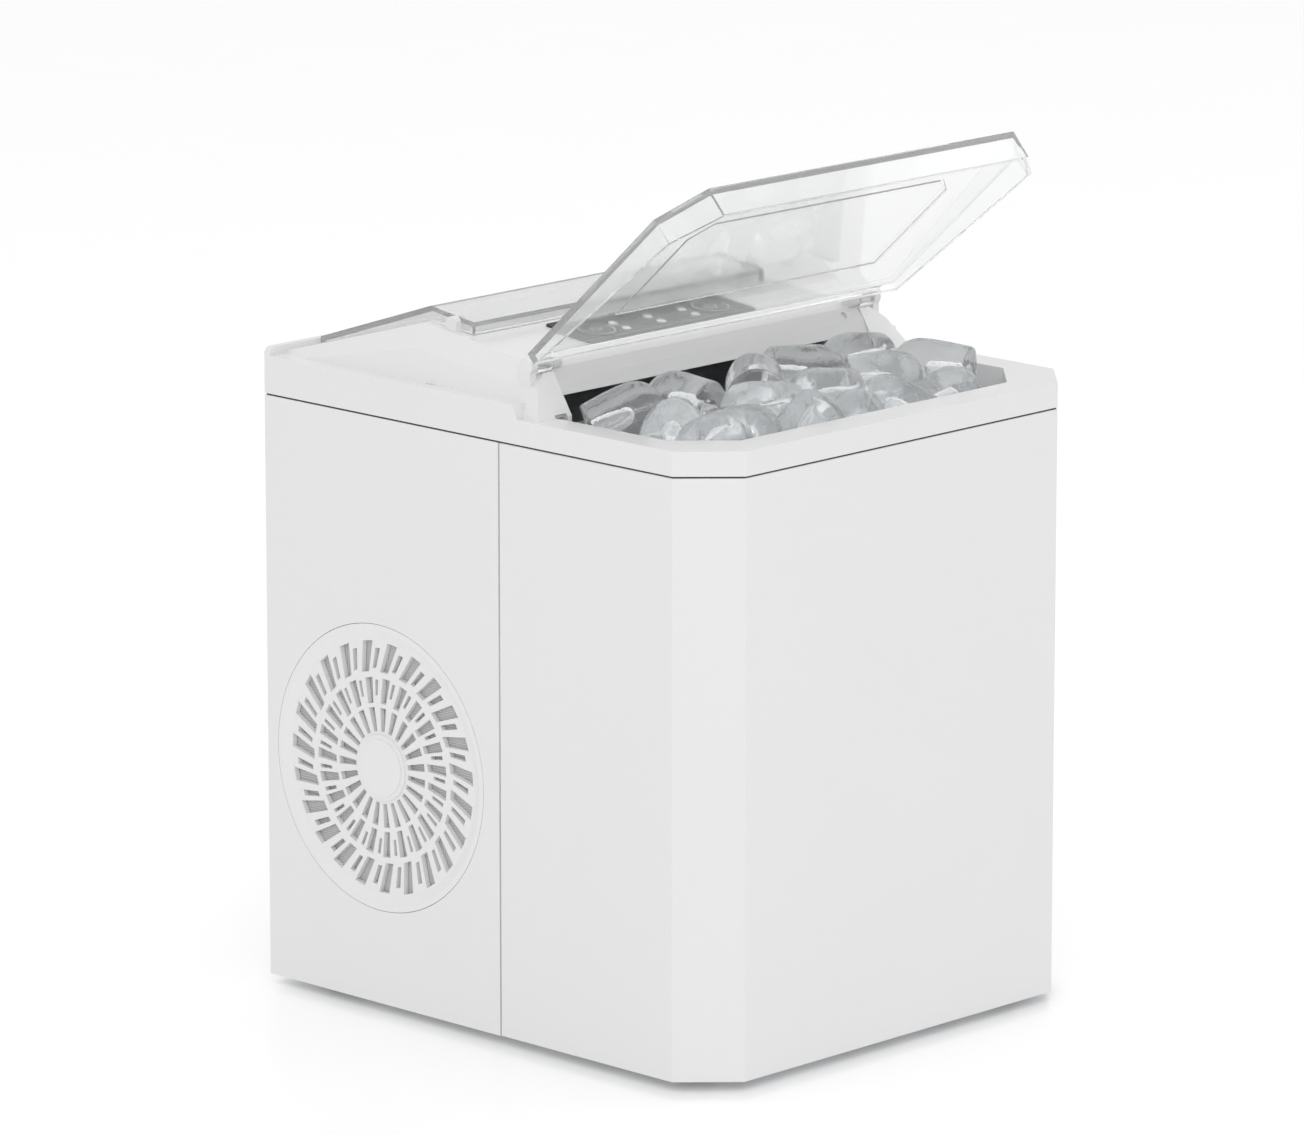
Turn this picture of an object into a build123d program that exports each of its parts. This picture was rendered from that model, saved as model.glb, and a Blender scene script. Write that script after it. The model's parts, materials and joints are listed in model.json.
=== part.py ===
from build123d import *
import math
import os

# Countertop bullet-ice maker. Millimetres, +Z up, front face towards -Y.
# The origin is the centre of the footprint, on the surface the feet stand on.

# ---- body ----
BODY_W = 236.0            # width over the side walls
BODY_D = 265.0            # depth over the front and back walls
FOOT_H = 4.0              # clear height under the body
CORNER = 21.5             # leg of the chamfer on the two front corners
SHELL_T = 2.2             # thickness of the wrap shells
BASE_T = 2.6              # thickness of the base pan
BASE_H = 14.0             # height of the base pan's upstand
SEAM_Z = 262.5            # height of the joint between the shells and the top cover
SEAM_GAP = 0.8            # open joint below the top cover
SIDE_SEAM_Y = -9.8        # joint between the front and the rear shell
SIDE_SEAM_GAP = 0.6
FIT = 0.25                # clearance between pieces that slide together on assembly

# ---- top cover ----
COVER_T = 2.5             # wall of the top cover
RIM_Z = 273.5             # top of the front rim
SIDE_Z = 279.5            # top of the side walls behind the step
BACK_RIM_Z = 283.2        # low rim along the back edge
BACK_RIM_T = 3.5
STEP_Y = -20.5            # where the side walls step up
RIM_SIDE = 14.0           # width of the rim at the sides
RIM_FRONT = 16.5          # width of the rim at the front
LIP_H = 6.0               # locating lip inside the shells
RIDGE_X = 92.5            # half width of the flat deck at its ridge
RIDGE_FRONT_X = 98.0      # and at its front end
RIDGE_BACK_X = 108.5      # and at the back edge
CREST_X = 104.0           # where the two shoulder bands meet the shoulder face
CREST_FORWARD = 6.0       # that point in front of the ridge
CREST_DROP = 8.5          # and below it
SHOULDER_X = 111.0        # half width of the raised block at the top of the side walls
SHOULDER_LEAN = 30.0      # lean of the shoulder faces, degrees
DECK_Y = -16.0            # front end of the sloping deck
DECK_Z = 292.5            # height of the deck there
DECK_SLOPE = 5.8          # rise of the deck towards the ridge, degrees
APEX_Y = 60.0             # ridge of the gable-shaped top
CHEEK_Y = -18.0           # front of the cheeks at the deck's height
CHEEK_LEAN = 32.0         # lean of the front of the cheeks, degrees

# ---- hinge bar over the ice mouth ----
BAR_HALF = 94.3
BAR_T = 2.6
BAR_BACK_Y = -9.2
BAR_NOSE = (-13.4, 292.7)  # end of the flat top, as depth and height
BAR_BROW = (-17.2, 291.4)
BAR_FOLD = (-21.6, 286.5)
BAR_FOOT = (-24.0, 280.9)

# ---- front lid ----
LID_HINGE_Y = -16.0
LID_HINGE_Z = 294.0
LID_OPEN = 42.2           # angle above the horizontal at which the lid stands
LID_LEN = 126.0           # hinge axis to the front edge
LID_HALF = 112.0
LID_CORNER = 18.5
LID_TOP = 1.5             # top plane above the hinge axis, square to the lid
LID_T = 2.5
LID_SKIRT_T = 2.2
LID_DEPTH = 13.3          # height of the front wall of the lid
LID_NECK = 103.6          # half width of the lid at its hinge
LID_NECK_LEN = 8.5
BARREL_R = 3.6
BARREL_IN = 95.0          # inner end of each hinge barrel
PIN_R = 1.4
PIN_FIT = 0.05            # radial running clearance
LID_REST_GAP = 0.3        # lid skirt above the rim when shut

# ---- rear cover ----
REAR_HALF = 88.7
REAR_FRONT_Y = 34.0
REAR_BACK_Y = 128.0
REAR_RISE = 5.6           # height of its front wall above the deck
REAR_APEX_RISE = 6.6
REAR_BACK_RISE = 3.3
REAR_T = 2.5
REAR_SKIRT_T = 2.2
REAR_GAP = 0.4            # skirt above the deck
REAR_HINGE_Y = 44.0
REAR_HINGE_UP = 3.3       # hinge axis above the deck
REAR_PIN_R = 1.2
REAR_EAR_R = 3.0
REAR_EAR_T = 3.2
BASIN_HALF = 85.5
BASIN_FRONT_DEPTH = 9.2
BASIN_BACK_Y = 118.0
BASIN_FALL = 11.0         # slope of the basin floor, degrees
STRAINER_Y = 100.0
STRAINER_R = 13.0
SPIGOT_LEN = 10.0

# ---- control panel ----
PANEL_HALF = 51.5
PANEL_Y0 = 2.4
PANEL_Y1 = 29.0
PANEL_T = 0.8
BUTTON_X = 35.2
BUTTON_Y = 15.0
BUTTON_R = 9.2
BUTTON_RISE = 0.5
BUTTON_STEM_R = 3.0
BUTTON_GAP = 0.3
BUTTON_TRAVEL = 0.6
LIGHT_R = 2.1
LIGHT_X = 21.2
LIGHT_ROWS = (10.6, 18.8)
BOARD_DROP = 8.0          # display board below the deck surface
BOARD_T = 1.6

# ---- side grille and fan ----
FAN_Y = 63.0
FAN_Z = 108.6
GRILLE_R = 63.0
GRILLE_SLOT_R = 55.5
GRILLE_DISH = 1.4         # slotted field lies this far inside the wall face
GRILLE_T = 2.4
GRILLE_CAP_R = 14.5
GRILLE_PAD_R = 12.4
GRILLE_UNITS = 23         # slot pattern repeats round the grille
GRILLE_TURN = 88.0        # direction of the first wide slot, degrees
FILTER_T = 2.0
BLADE_R = 50.0
SHROUD_R = 52.5
FAN_MOTOR_R = 17.0
FAN_SHAFT_R = 2.5

# ---- cold chamber ----
LINER_HALF = 105.0        # outside half width of the liner
LINER_T = 2.0
LINER_FRONT_Y = -117.5
LINER_CORNER = 19.5
LINER_STEP_Y = -24.0      # back of the tank part
LINER_BACK_Y = 72.0       # back of the ice-making part
LINER_FLOOR_Z = 58.0
CHAMBER_FLOOR_Z = 187.0
LINER_TOP_Z = 257.6
LEDGE_Z = 250.0
BASKET_HALF = 100.0
BASKET_FRONT_Y = -113.0
BASKET_BACK_Y = -31.0
BASKET_FLOOR_Z = 176.0
BASKET_TOP_Z = 252.3
BASKET_T = 1.8
BASKET_CORNER = 18.0
FOAM_T = 8.0
JACKET_GAP = 0.2          # between the liner and its jacket

# ---- ice making ----
FINGER_R = 4.5
FINGER_TIP_Z = 225.0
FINGER_PITCH = 26.0
FINGER_ROWS = (14.0, 30.0)
EVAP_TUBE_R = 5.0
TRAY_HALF = 70.0
TRAY_FRONT_Y = 0.0
TRAY_BACK_Y = 42.0
TRAY_FLOOR_Z = 219.0
TRAY_RIM_Z = 237.0
TRAY_T = 1.8
TRAY_AXIS_Y = 44.0
TRAY_AXIS_Z = 241.0
TRAY_PIN_R = 3.0
SHOVEL_Y = -8.0
SHOVEL_Z = 250.0
SHOVEL_HALF = 84.0
SHOVEL_REACH = 50.0
SHOVEL_PIN_R = 2.5

# ---- machinery ----
COMP_X = 58.0
COMP_Y = 80.0
COMP_R = 43.0
COMP_H = 118.0
COMP_PLATE = 90.0
COMP_MOUNT = 36.0         # grommets from the compressor's axis
COIL_X0 = -62.0
COIL_X1 = -38.0
COIL_HALF = 55.0
COIL_END = 4.0            # tube ends beyond the fins
SUCTION_X = -88.0
SUCTION_R = 2.8
DISCHARGE_R = 2.4
PUMP_X = 90.0
PUMP_Y = 12.0
PUMP_R = 15.0
PUMP_H = 34.0
HOSE_R = 3.8
HOSE_BORE = 2.5
INTAKE_Z = 67.0           # tank outlet to the pump
DUCT_R = 9.0
DUCT_BORE = 7.4
DUCT_Z = 176.0
PLUG_Y = -60.0
PLUG_Z = 72.0
PLUG_R = 7.0
PLUG_HEAD_R = 12.0
GLAND_X = -80.0
GLAND_Z = 40.0
GLAND_R = 9.0
GLAND_BORE = 4.0
SCREW_R = 2.0
SCREW_HEAD_R = 3.6
SCREW_XS = (-95.0, 0.0, 95.0)
SCREW_Z = 12.0            # screws low on the back wall

# ---- worked out from the sizes above ----
HALF_W = BODY_W / 2
HALF_D = BODY_D / 2
SHELL_TOP = SEAM_Z - SEAM_GAP / 2
COVER_Z0 = SEAM_Z + SEAM_GAP / 2
BASE_TOP = FOOT_H + BASE_T
TAN_DECK = math.tan(math.radians(DECK_SLOPE))
APEX_Z = DECK_Z + (APEX_Y - DECK_Y) * TAN_DECK
BACK_FALL = (APEX_Z - SIDE_Z) / (HALF_D - APEX_Y)


def deck_z(y):
    """Height of the flat deck at a depth."""
    front = DECK_Z + (y - DECK_Y) * TAN_DECK
    back = APEX_Z - (y - APEX_Y) * BACK_FALL
    return min(front, back)


def box(x0, x1, y0, y1, z0, z1):
    """Box between two corners."""
    size = Box(x1 - x0, y1 - y0, z1 - z0)
    return Pos((x0 + x1) / 2, (y0 + y1) / 2, (z0 + z1) / 2) * size


def rod(radius, start, end):
    """Round bar from one point to another."""
    axis = Vector(*end) - Vector(*start)
    plane = Plane(origin=start, z_dir=axis)
    return extrude(plane * Circle(radius), axis.length)


def x_rod(radius, x0, x1, y, z):
    return rod(radius, (x0, y, z), (x1, y, z))


def both_sides(shape):
    """The shape and its mirror image across the middle plane, as separate solids."""
    return Compound(children=[shape, mirror(shape, Plane.YZ)])


def pair(shape):
    """The shape joined with its mirror image."""
    return shape + mirror(shape, Plane.YZ)


def profile(points, half):
    """Extrude a side profile of (y, z) points to both sides of the middle plane."""
    face = make_face(Plane.YZ * Polyline(*points, close=True))
    return extrude(face, half, both=True)


def outline(half_w, front_y, back_y, corner):
    """Plan outline with chamfered front corners."""
    points = (
        (-half_w, back_y),
        (-half_w, front_y + corner),
        (-half_w + corner, front_y),
        (half_w - corner, front_y),
        (half_w, front_y + corner),
        (half_w, back_y),
    )
    return make_face(Polyline(*points, close=True))


def body_block(inset, z0, z1):
    """The body's plan, pulled in by inset, between two heights."""
    corner = CORNER - inset * (2 - math.sqrt(2))
    face = outline(HALF_W - inset, -HALF_D + inset, HALF_D - inset, corner)
    return Pos(0, 0, z0) * extrude(face, z1 - z0)


def keep_below(shape, point, normal):
    """Cut away what lies on the normal's side of a plane."""
    plane = Plane(origin=point, z_dir=normal)
    return split(shape, bisect_by=plane, keep=Keep.BOTTOM)


# ---------------------------------------------------------------- casing
def base_pan():
    outer = body_block(SHELL_T + FIT, FOOT_H, FOOT_H + BASE_H)
    inner = body_block(SHELL_T + FIT + BASE_T, BASE_TOP, FOOT_H + BASE_H + 1)
    pan = outer - inner
    for x, y in feet_places():
        pan -= Pos(x, y, FOOT_H + 0.8) * Cylinder(8.2, 2.0)
    for x in SCREW_XS:
        pan -= rod(SCREW_R + 0.05, (x, HALF_D - 12, SCREW_Z), (x, HALF_D, SCREW_Z))
    vents = [box(x, x + 4, -10, 50, FOOT_H - 1, BASE_TOP + 1) for x in range(-60, 1, 12)]
    pan -= vents
    # posts under the tank's jacket
    for x in (-70, 70):
        for y in (-100, -40):
            pan += box(x - 5, x + 5, y - 5, y + 5, BASE_TOP - 0.5, jacket_floor_z() - 0.1)
    return pan


def jacket_floor_z():
    return LINER_FLOOR_Z - JACKET_GAP - FOAM_T


def feet_places():
    inset = 24.0
    for x in (-HALF_W + inset, HALF_W - inset):
        for y in (-HALF_D + inset + 6, HALF_D - inset):
            yield x, y


def rubber_feet():
    """Four round feet pressed into recesses of the base pan."""
    feet = []
    for x, y in feet_places():
        foot = Pos(x, y, (FOOT_H + 1.6) / 2) * Cylinder(8.0, FOOT_H + 1.6)
        feet.append(chamfer(foot.faces().sort_by(Axis.Z)[0].edges(), 1.0))
    return Compound(children=feet)


def wrap_wall():
    """The closed ring both shells are cut from."""
    return body_block(0, FOOT_H, SHELL_TOP) - body_block(SHELL_T, FOOT_H - 1, SHELL_TOP + 1)


def front_shell():
    seam = SIDE_SEAM_Y - SIDE_SEAM_GAP / 2
    shell = wrap_wall() & box(-200, 200, -200, seam, 0, 300)
    hole = x_rod(PLUG_HEAD_R + 0.6, HALF_W - SHELL_T - 2, HALF_W + 2, PLUG_Y, PLUG_Z)
    return shell - hole


def rear_shell():
    seam = SIDE_SEAM_Y + SIDE_SEAM_GAP / 2
    shell = wrap_wall() & box(-200, 200, seam, 200, 0, 300)
    # joining tongues behind the front shell
    tongue = box(HALF_W - SHELL_T - 1.8, HALF_W - SHELL_T - FIT, seam - 7, seam + 4, 20, SHELL_TOP - 10)
    root = box(HALF_W - SHELL_T - 1.8, HALF_W - SHELL_T + 0.6, seam + 1, seam + 4, 20, SHELL_TOP - 10)
    shell += pair(tongue + root)
    shell -= x_rod(GRILLE_R + FIT, -HALF_W - 2, -HALF_W + SHELL_T + 2, FAN_Y, FAN_Z)
    # air intake louvres on the right side
    for i in range(9):
        z = 70 + i * 9
        shell -= box(HALF_W - 6, HALF_W + 2, 30, 100, z, z + 4)
    # air outlet slots at the back
    for i in range(13):
        x = -42 + i * 8
        shell -= box(x, x + 4, HALF_D - 6, HALF_D + 2, 60, 120)
    shell -= rod(GLAND_R, (GLAND_X, HALF_D - 6, GLAND_Z), (GLAND_X, HALF_D + 2, GLAND_Z))
    for x in SCREW_XS:
        shell -= rod(SCREW_R + 0.1, (x, HALF_D - 4, SCREW_Z), (x, HALF_D + 2, SCREW_Z))
        shell -= rod(SCREW_HEAD_R + 0.2, (x, HALF_D - 1.2, SCREW_Z), (x, HALF_D + 2, SCREW_Z))
    return shell


def slot(r0, r1, unit, share, lean):
    """Four-cornered slot: its share of a pattern unit wide, outer end shifted by lean degrees."""
    half = math.radians(share * 180 / GRILLE_UNITS)
    inner = math.radians(GRILLE_TURN + unit * 360 / GRILLE_UNITS)
    outer = inner - math.radians(lean)
    corners = ((r0, inner - half), (r0, inner + half), (r1, outer + half), (r1, outer - half))
    points = [(r * math.cos(turn), r * math.sin(turn)) for r, turn in corners]
    return make_face(Polyline(*points, close=True))


def fan_grille():
    """Round grille: flush rim, conical step and a slotted field with a plain cap."""
    side = Plane(origin=(-HALF_W, FAN_Y, FAN_Z), x_dir=(0, -1, 0), z_dir=(-1, 0, 0))
    field = -GRILLE_DISH
    flange = -SHELL_T - FIT
    section = make_face(Polyline(
        (0, field), (GRILLE_SLOT_R + 1, field), (GRILLE_R - 2.5, 0), (GRILLE_R, 0),
        (GRILLE_R, flange), (GRILLE_R + 3.5, flange), (GRILLE_R + 3.5, flange - 1.4),
        (GRILLE_SLOT_R + 1, field - GRILLE_T), (0, field - GRILLE_T), close=True))
    disc = revolve(Plane.XZ * section, Axis.Z)
    slots = []
    for unit in range(GRILLE_UNITS):
        slots.append(slot(15.9, 26.4, unit, 0.50, 0))
        slots.append(slot(28.2, 39.5, unit, 0.42, 2.3))
        slots.append(slot(31.5, 38.5, unit + 0.5, 0.17, 1.4))
        slots.append(slot(42.0, GRILLE_SLOT_R, unit, 0.40, 5.0))
        slots.append(slot(43.5, GRILLE_SLOT_R - 3, unit + 0.5, 0.19, 3.4))
    cutter = extrude(Pos(0, 0, -8) * Sketch(children=slots), 12)
    cap = Pos(0, 0, field) * extrude(Circle(GRILLE_CAP_R), 0.8)
    pad = Pos(0, 0, field) * extrude(Circle(GRILLE_PAD_R), 1.3)
    return side * (disc - cutter + cap + pad)


def grille_filter():
    """Dust screen clipped behind the grille."""
    x0 = -HALF_W + GRILLE_DISH + GRILLE_T + 0.2
    ring = x_rod(GRILLE_SLOT_R + 1.5, x0, x0 + FILTER_T, FAN_Y, FAN_Z)
    return ring


# ---------------------------------------------------------------- top cover
def gable_block(inset, z0):
    """The raised block: sloping deck, shoulder bands, leaning sides and front."""
    block = box(-HALF_W + 2, HALF_W - 2, -60, HALF_D - inset, z0, 340)
    deck_tilt = math.radians(DECK_SLOPE)
    back_tilt = math.atan(BACK_FALL)
    lean = math.radians(SHOULDER_LEAN)
    cheek = math.radians(CHEEK_LEAN)
    planes = [
        ((0, DECK_Y, DECK_Z), (0, -math.sin(deck_tilt), math.cos(deck_tilt))),
        ((0, APEX_Y, APEX_Z), (0, math.sin(back_tilt), math.cos(back_tilt))),
        ((0, CHEEK_Y, DECK_Z), (0, -math.cos(cheek), math.sin(cheek))),
    ]
    ridge = Vector(RIDGE_X, APEX_Y, APEX_Z)
    crest = Vector(CREST_X, APEX_Y - CREST_FORWARD, APEX_Z - CREST_DROP) - ridge
    front_band = (Vector(RIDGE_FRONT_X, DECK_Y, DECK_Z) - ridge).cross(crest)
    back_band = crest.cross(Vector(RIDGE_BACK_X, HALF_D, SIDE_Z) - ridge)
    for side in (-1, 1):
        for band in (front_band, back_band):
            planes.append(((side * RIDGE_X, APEX_Y, APEX_Z), (side * band.X, band.Y, band.Z)))
        planes.append(((side * SHOULDER_X, 0, SIDE_Z), (side * math.cos(lean), 0, math.sin(lean))))
    for point, normal in planes:
        out = Vector(*normal).normalized()
        block = keep_below(block, Vector(*point) - out * inset, normal)
    return block


def side_block(inset, z0):
    """The body's plan behind the step, up to the side walls' top."""
    slab = body_block(inset, z0, SIDE_Z - inset)
    lean = math.radians(16)
    return keep_below(slab, (0, STEP_Y + inset, RIM_Z), (0, -math.cos(lean), math.sin(lean)))


def opening_block(grow, z0, z1):
    """Basket opening in the rim, with chamfered front corners."""
    half = HALF_W - RIM_SIDE + grow
    front = -HALF_D + RIM_FRONT - grow
    face = outline(half, front, DECK_Y - 11.5, CORNER)
    return Pos(0, 0, z0) * extrude(face, z1 - z0)


def rear_hinge_z():
    return deck_z(REAR_HINGE_Y) + REAR_HINGE_UP


def basin_block(grow):
    """Fill basin under the rear cover; its floor falls towards the back."""
    floor = deck_z(REAR_FRONT_Y) - BASIN_FRONT_DEPTH - grow
    fall = math.tan(math.radians(BASIN_FALL))
    y0 = REAR_FRONT_Y - 0.6 - grow
    y1 = BASIN_BACK_Y + grow
    points = ((y0, floor), (y1, floor - (y1 - y0) * fall), (y1, 330), (y0, 330))
    basin = profile(points, BASIN_HALF + grow)
    # room for the swing of the cover's front corners
    y1 = REAR_HINGE_Y + 7 + grow
    points = ((y0, floor), (y1, floor), (y1, 330), (y0, 330))
    return basin + profile(points, REAR_HALF + 0.5 + grow)


def duct_top_z():
    return basin_floor_z(STRAINER_Y + DUCT_R) - 1.0


def basin_floor_z(y):
    floor = deck_z(REAR_FRONT_Y) - BASIN_FRONT_DEPTH
    return floor - (y - REAR_FRONT_Y + 0.6) * math.tan(math.radians(BASIN_FALL))


def deck_plane():
    """Work plane on the sloping deck, centred on the control panel."""
    tilt = math.radians(DECK_SLOPE)
    return Plane(origin=(0, BUTTON_Y, deck_z(BUTTON_Y)), x_dir=(1, 0, 0),
                 z_dir=(0, -math.sin(tilt), math.cos(tilt)))


def top_cover():
    outer = body_block(0, COVER_Z0, RIM_Z) + side_block(0, COVER_Z0) + gable_block(0, COVER_Z0)
    inner = (body_block(COVER_T, COVER_Z0 - 1, RIM_Z - COVER_T)
             + side_block(COVER_T, COVER_Z0 - 1) + gable_block(COVER_T, COVER_Z0 - 1))
    cover = outer - inner
    # low rim along the back edge, rounded at both ends
    rim = box(-HALF_W, HALF_W, HALF_D - BACK_RIM_T, HALF_D, SIDE_Z - COVER_T, BACK_RIM_Z)
    cover += fillet(rim.edges().filter_by(Axis.Y).group_by(Axis.Z)[-1], 3.0)
    # locating lip inside the shells
    lip = (body_block(SHELL_T + FIT, SHELL_TOP - LIP_H, COVER_Z0 + 1)
           - body_block(SHELL_T + FIT + 1.6, SHELL_TOP - LIP_H - 1, COVER_Z0 + 2))
    cover += lip
    # basket opening and the skirt below it
    drop_z = LINER_TOP_Z + 0.3
    cover += opening_block(2.0, drop_z, RIM_Z - 0.5) - box(-200, 200, -29, 200, 0, 300)
    cover -= opening_block(0, drop_z - 1, RIM_Z + 1)
    # bed of the hinge bar, with an inner wall at each cheek
    wall = box(BAR_HALF + 0.2, BAR_HALF + 2.6, -30, BAR_BACK_Y + 12, drop_z + 3, 340)
    cover += pair(wall) & gable_block(0, drop_z + 3)
    cover -= box(-BAR_HALF - 0.2, BAR_HALF + 0.2, -45, BAR_BACK_Y + 0.2, drop_z, 340)
    # fill basin and strainer hole
    cover += basin_block(COVER_T) & gable_block(0.5, COVER_Z0 - 20)
    cover -= basin_block(0)
    # spigot over the fill duct
    low = duct_top_z() - SPIGOT_LEN
    spigot_r = DUCT_R + FIT + 1.8
    high = basin_floor_z(STRAINER_Y + spigot_r) - 0.5
    cover += rod(spigot_r, (0, STRAINER_Y, low), (0, STRAINER_Y, high))
    cover -= rod(DUCT_R + FIT, (0, STRAINER_Y, low - 1), (0, STRAINER_Y, 300))
    # panel bed: button, light and stem holes
    plane = deck_plane()
    for x in (-BUTTON_X, BUTTON_X):
        cover -= plane * (Pos(x, 0, 0) * Cylinder(BUTTON_R + BUTTON_GAP, 12))
    for x, y in light_places():
        cover -= plane * (Pos(x, y, 0) * Cylinder(LIGHT_R + 0.15, 12))
    # pockets and ears of the lid hinge
    ear_x0 = LID_NECK + 0.5
    pocket = x_rod(BARREL_R + 1.0, BAR_HALF - 1, ear_x0, LID_HINGE_Y, LID_HINGE_Z)
    cover -= pair(pocket)
    ear = x_rod(BARREL_R, ear_x0, ear_x0 + 3.6, LID_HINGE_Y, LID_HINGE_Z)
    ear += box(ear_x0, ear_x0 + 3.6, LID_HINGE_Y - 2.4, LID_HINGE_Y + BARREL_R,
               LID_HINGE_Z - 11, LID_HINGE_Z - 1)
    ear -= x_rod(PIN_R + PIN_FIT, ear_x0 - 1, ear_x0 + 3.0, LID_HINGE_Y, LID_HINGE_Z)
    cover += pair(ear)
    # ears of the rear cover hinge
    x0 = REAR_HALF + 0.6
    y, z = REAR_HINGE_Y, rear_hinge_z()
    rear_ear = x_rod(REAR_EAR_R, x0, x0 + REAR_EAR_T, y, z)
    rear_ear += box(x0, x0 + REAR_EAR_T, y - REAR_EAR_R, y + REAR_EAR_R, z - REAR_HINGE_UP - 1.5, z)
    rear_ear -= x_rod(REAR_PIN_R + PIN_FIT, x0 - 1, x0 + REAR_EAR_T - 0.6, y, z)
    cover += pair(rear_ear)
    # drain slots at the foot of each shoulder
    cover -= pair(box(SHOULDER_X + 0.1, SHOULDER_X + 1.2, 34, 39.5, SIDE_Z - 4, SIDE_Z + 1))
    return cover


def light_places():
    """Places of the six lights on the deck plane."""
    for x in (-LIGHT_X, 0.0, LIGHT_X):
        for y in LIGHT_ROWS:
            yield x, (y - BUTTON_Y) / math.cos(math.radians(DECK_SLOPE))


def hinge_bar():
    """Bent bar that closes the front edge of the deck over the ice mouth."""
    y = BAR_BACK_Y
    front = ((y, deck_z(y)), BAR_NOSE, BAR_BROW, BAR_FOLD, BAR_FOOT)
    shifts = ((2.4, -0.4), (2.2, -0.9), (1.7, -2.0), (0.9, -BAR_T), (0, -BAR_T))
    back = tuple((p[0] + d[0], p[1] + d[1]) for p, d in zip(reversed(front), shifts))
    bar = profile(front + back, BAR_HALF)
    edges = bar.edges().filter_by(Axis.X)
    rounded = [e for e in edges if e.center().Z > BAR_BROW[1] - 0.2 and e.center().Y < BAR_NOSE[0] + 0.2]
    bar = fillet(rounded, 1.5)
    boss = x_rod(BARREL_R - 0.4, BAR_HALF - 5, BAR_HALF, LID_HINGE_Y, LID_HINGE_Z)
    boss -= x_rod(PIN_R + PIN_FIT, BAR_HALF - 4, BAR_HALF + 1, LID_HINGE_Y, LID_HINGE_Z)
    bar += pair(boss)
    bar -= pair(x_rod(PIN_R + PIN_FIT, BAR_HALF - 4, BAR_HALF + 1, LID_HINGE_Y, LID_HINGE_Z))
    # screw recess near the right end
    middle = ((BAR_BROW[0] + BAR_FOLD[0]) / 2, (BAR_BROW[1] + BAR_FOLD[1]) / 2)
    slope = Plane(origin=(BAR_HALF - 10, *middle), x_dir=(1, 0, 0),
                  z_dir=(0, BAR_FOLD[1] - BAR_BROW[1], BAR_BROW[0] - BAR_FOLD[0]))
    return bar - slope * Cylinder(1.7, 2.4)


# ---------------------------------------------------------------- lids
def lid_shut_angle():
    """Angle of the lid below the horizontal when its skirt stands on the rim."""
    drop = LID_HINGE_Z - RIM_Z - LID_REST_GAP
    low = LID_DEPTH - LID_TOP
    return math.asin(drop / math.hypot(LID_LEN, low)) - math.atan(low / LID_LEN)


def lid_block(inset, top):
    """Plan of the lid, front edge towards -Y, hinge axis on the X axis."""
    corner = LID_CORNER - inset * (2 - math.sqrt(2))
    half = LID_HALF - inset
    length = LID_LEN - inset
    neck = -LID_NECK_LEN - inset
    points = ((-half, neck), (-half, corner - length), (corner - half, -length),
              (half - corner, -length), (half, corner - length), (half, neck))
    return Pos(0, 0, -30) * extrude(make_face(Polyline(*points, close=True)), 30 + top)


def front_lid():
    shut = lid_shut_angle()
    shell = lid_block(0, LID_TOP) - lid_block(LID_SKIRT_T, LID_TOP - LID_T)
    # lower edge of the skirt: level when the lid is shut
    low = (0, -LID_LEN, LID_TOP - LID_DEPTH)
    shell = keep_below(shell, low, (0, math.sin(shut), -math.cos(shut)))
    # skirt ends rise towards the hinge
    nose = profile(((-11, -8.2), (-32, -17.6), (-34, -40), (5, -40), (5, -8.2)), 150)
    shell -= nose
    neck = box(-LID_NECK, LID_NECK, -LID_NECK_LEN - 1, -3.8, LID_TOP - LID_T, LID_TOP)
    shell += neck
    # shallow frame line round the window
    half, back, front, cut = 80.0, -33.0, -99.0, 10.0
    points = ((-half, back), (-half, front + cut), (cut - half, front), (half - cut, front),
              (half, front + cut), (half, back))
    window = make_face(Polyline(*points, close=True))
    groove = extrude(window, 0.6) - extrude(offset(window, -1.4), 0.6)
    shell -= Pos(0, 0, LID_TOP - LID_T) * groove
    lug = x_rod(BARREL_R, BARREL_IN, LID_NECK, 0, 0)
    lug += box(BARREL_IN, LID_NECK, -5.0, 0, LID_TOP - LID_T, LID_TOP)
    shell += pair(lug)
    shell -= x_rod(PIN_R + PIN_FIT, -120, 120, 0, 0) & pair(box(BARREL_IN - 1, 120, -9, 9, -9, 9))
    return Pos(0, LID_HINGE_Y, LID_HINGE_Z) * Rot(-LID_OPEN, 0, 0) * shell


def front_lid_pins():
    pin = x_rod(PIN_R, BAR_HALF - 3.6, LID_NECK + 3.2, LID_HINGE_Y, LID_HINGE_Z)
    return both_sides(pin)


def rear_cover():
    """Clear cover bent over the ridge, with a low skirt all round."""
    y0, y1 = REAR_FRONT_Y, REAR_BACK_Y
    top = ((y0, deck_z(y0) + REAR_RISE), (APEX_Y, APEX_Z + REAR_APEX_RISE),
           (y1, deck_z(y1) + REAR_BACK_RISE))
    low = ((y1, deck_z(y1) + REAR_GAP), (APEX_Y, APEX_Z + REAR_GAP), (y0, deck_z(y0) + REAR_GAP))
    cover = profile(top + low, REAR_HALF)
    t = REAR_SKIRT_T
    roof = tuple((y, z - REAR_T) for y, z in (
        (y0 + t, deck_z(y0) + REAR_RISE + 0.2), top[1], (y1 - t, top[2][1] + t * 0.3)))
    void = roof + ((y1 - t, 270), (y0 + t, 270))
    cover -= profile(void, REAR_HALF - t)
    y, z = REAR_HINGE_Y, rear_hinge_z()
    hole = x_rod(REAR_PIN_R + PIN_FIT, REAR_HALF - t - 1, REAR_HALF + 1, y, z)
    return cover - pair(hole)


def rear_cover_pins():
    x0 = REAR_HALF - REAR_SKIRT_T - 0.8
    x1 = REAR_HALF + 0.6 + REAR_EAR_T - 0.8
    return both_sides(x_rod(REAR_PIN_R, x0, x1, REAR_HINGE_Y, rear_hinge_z()))


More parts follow.
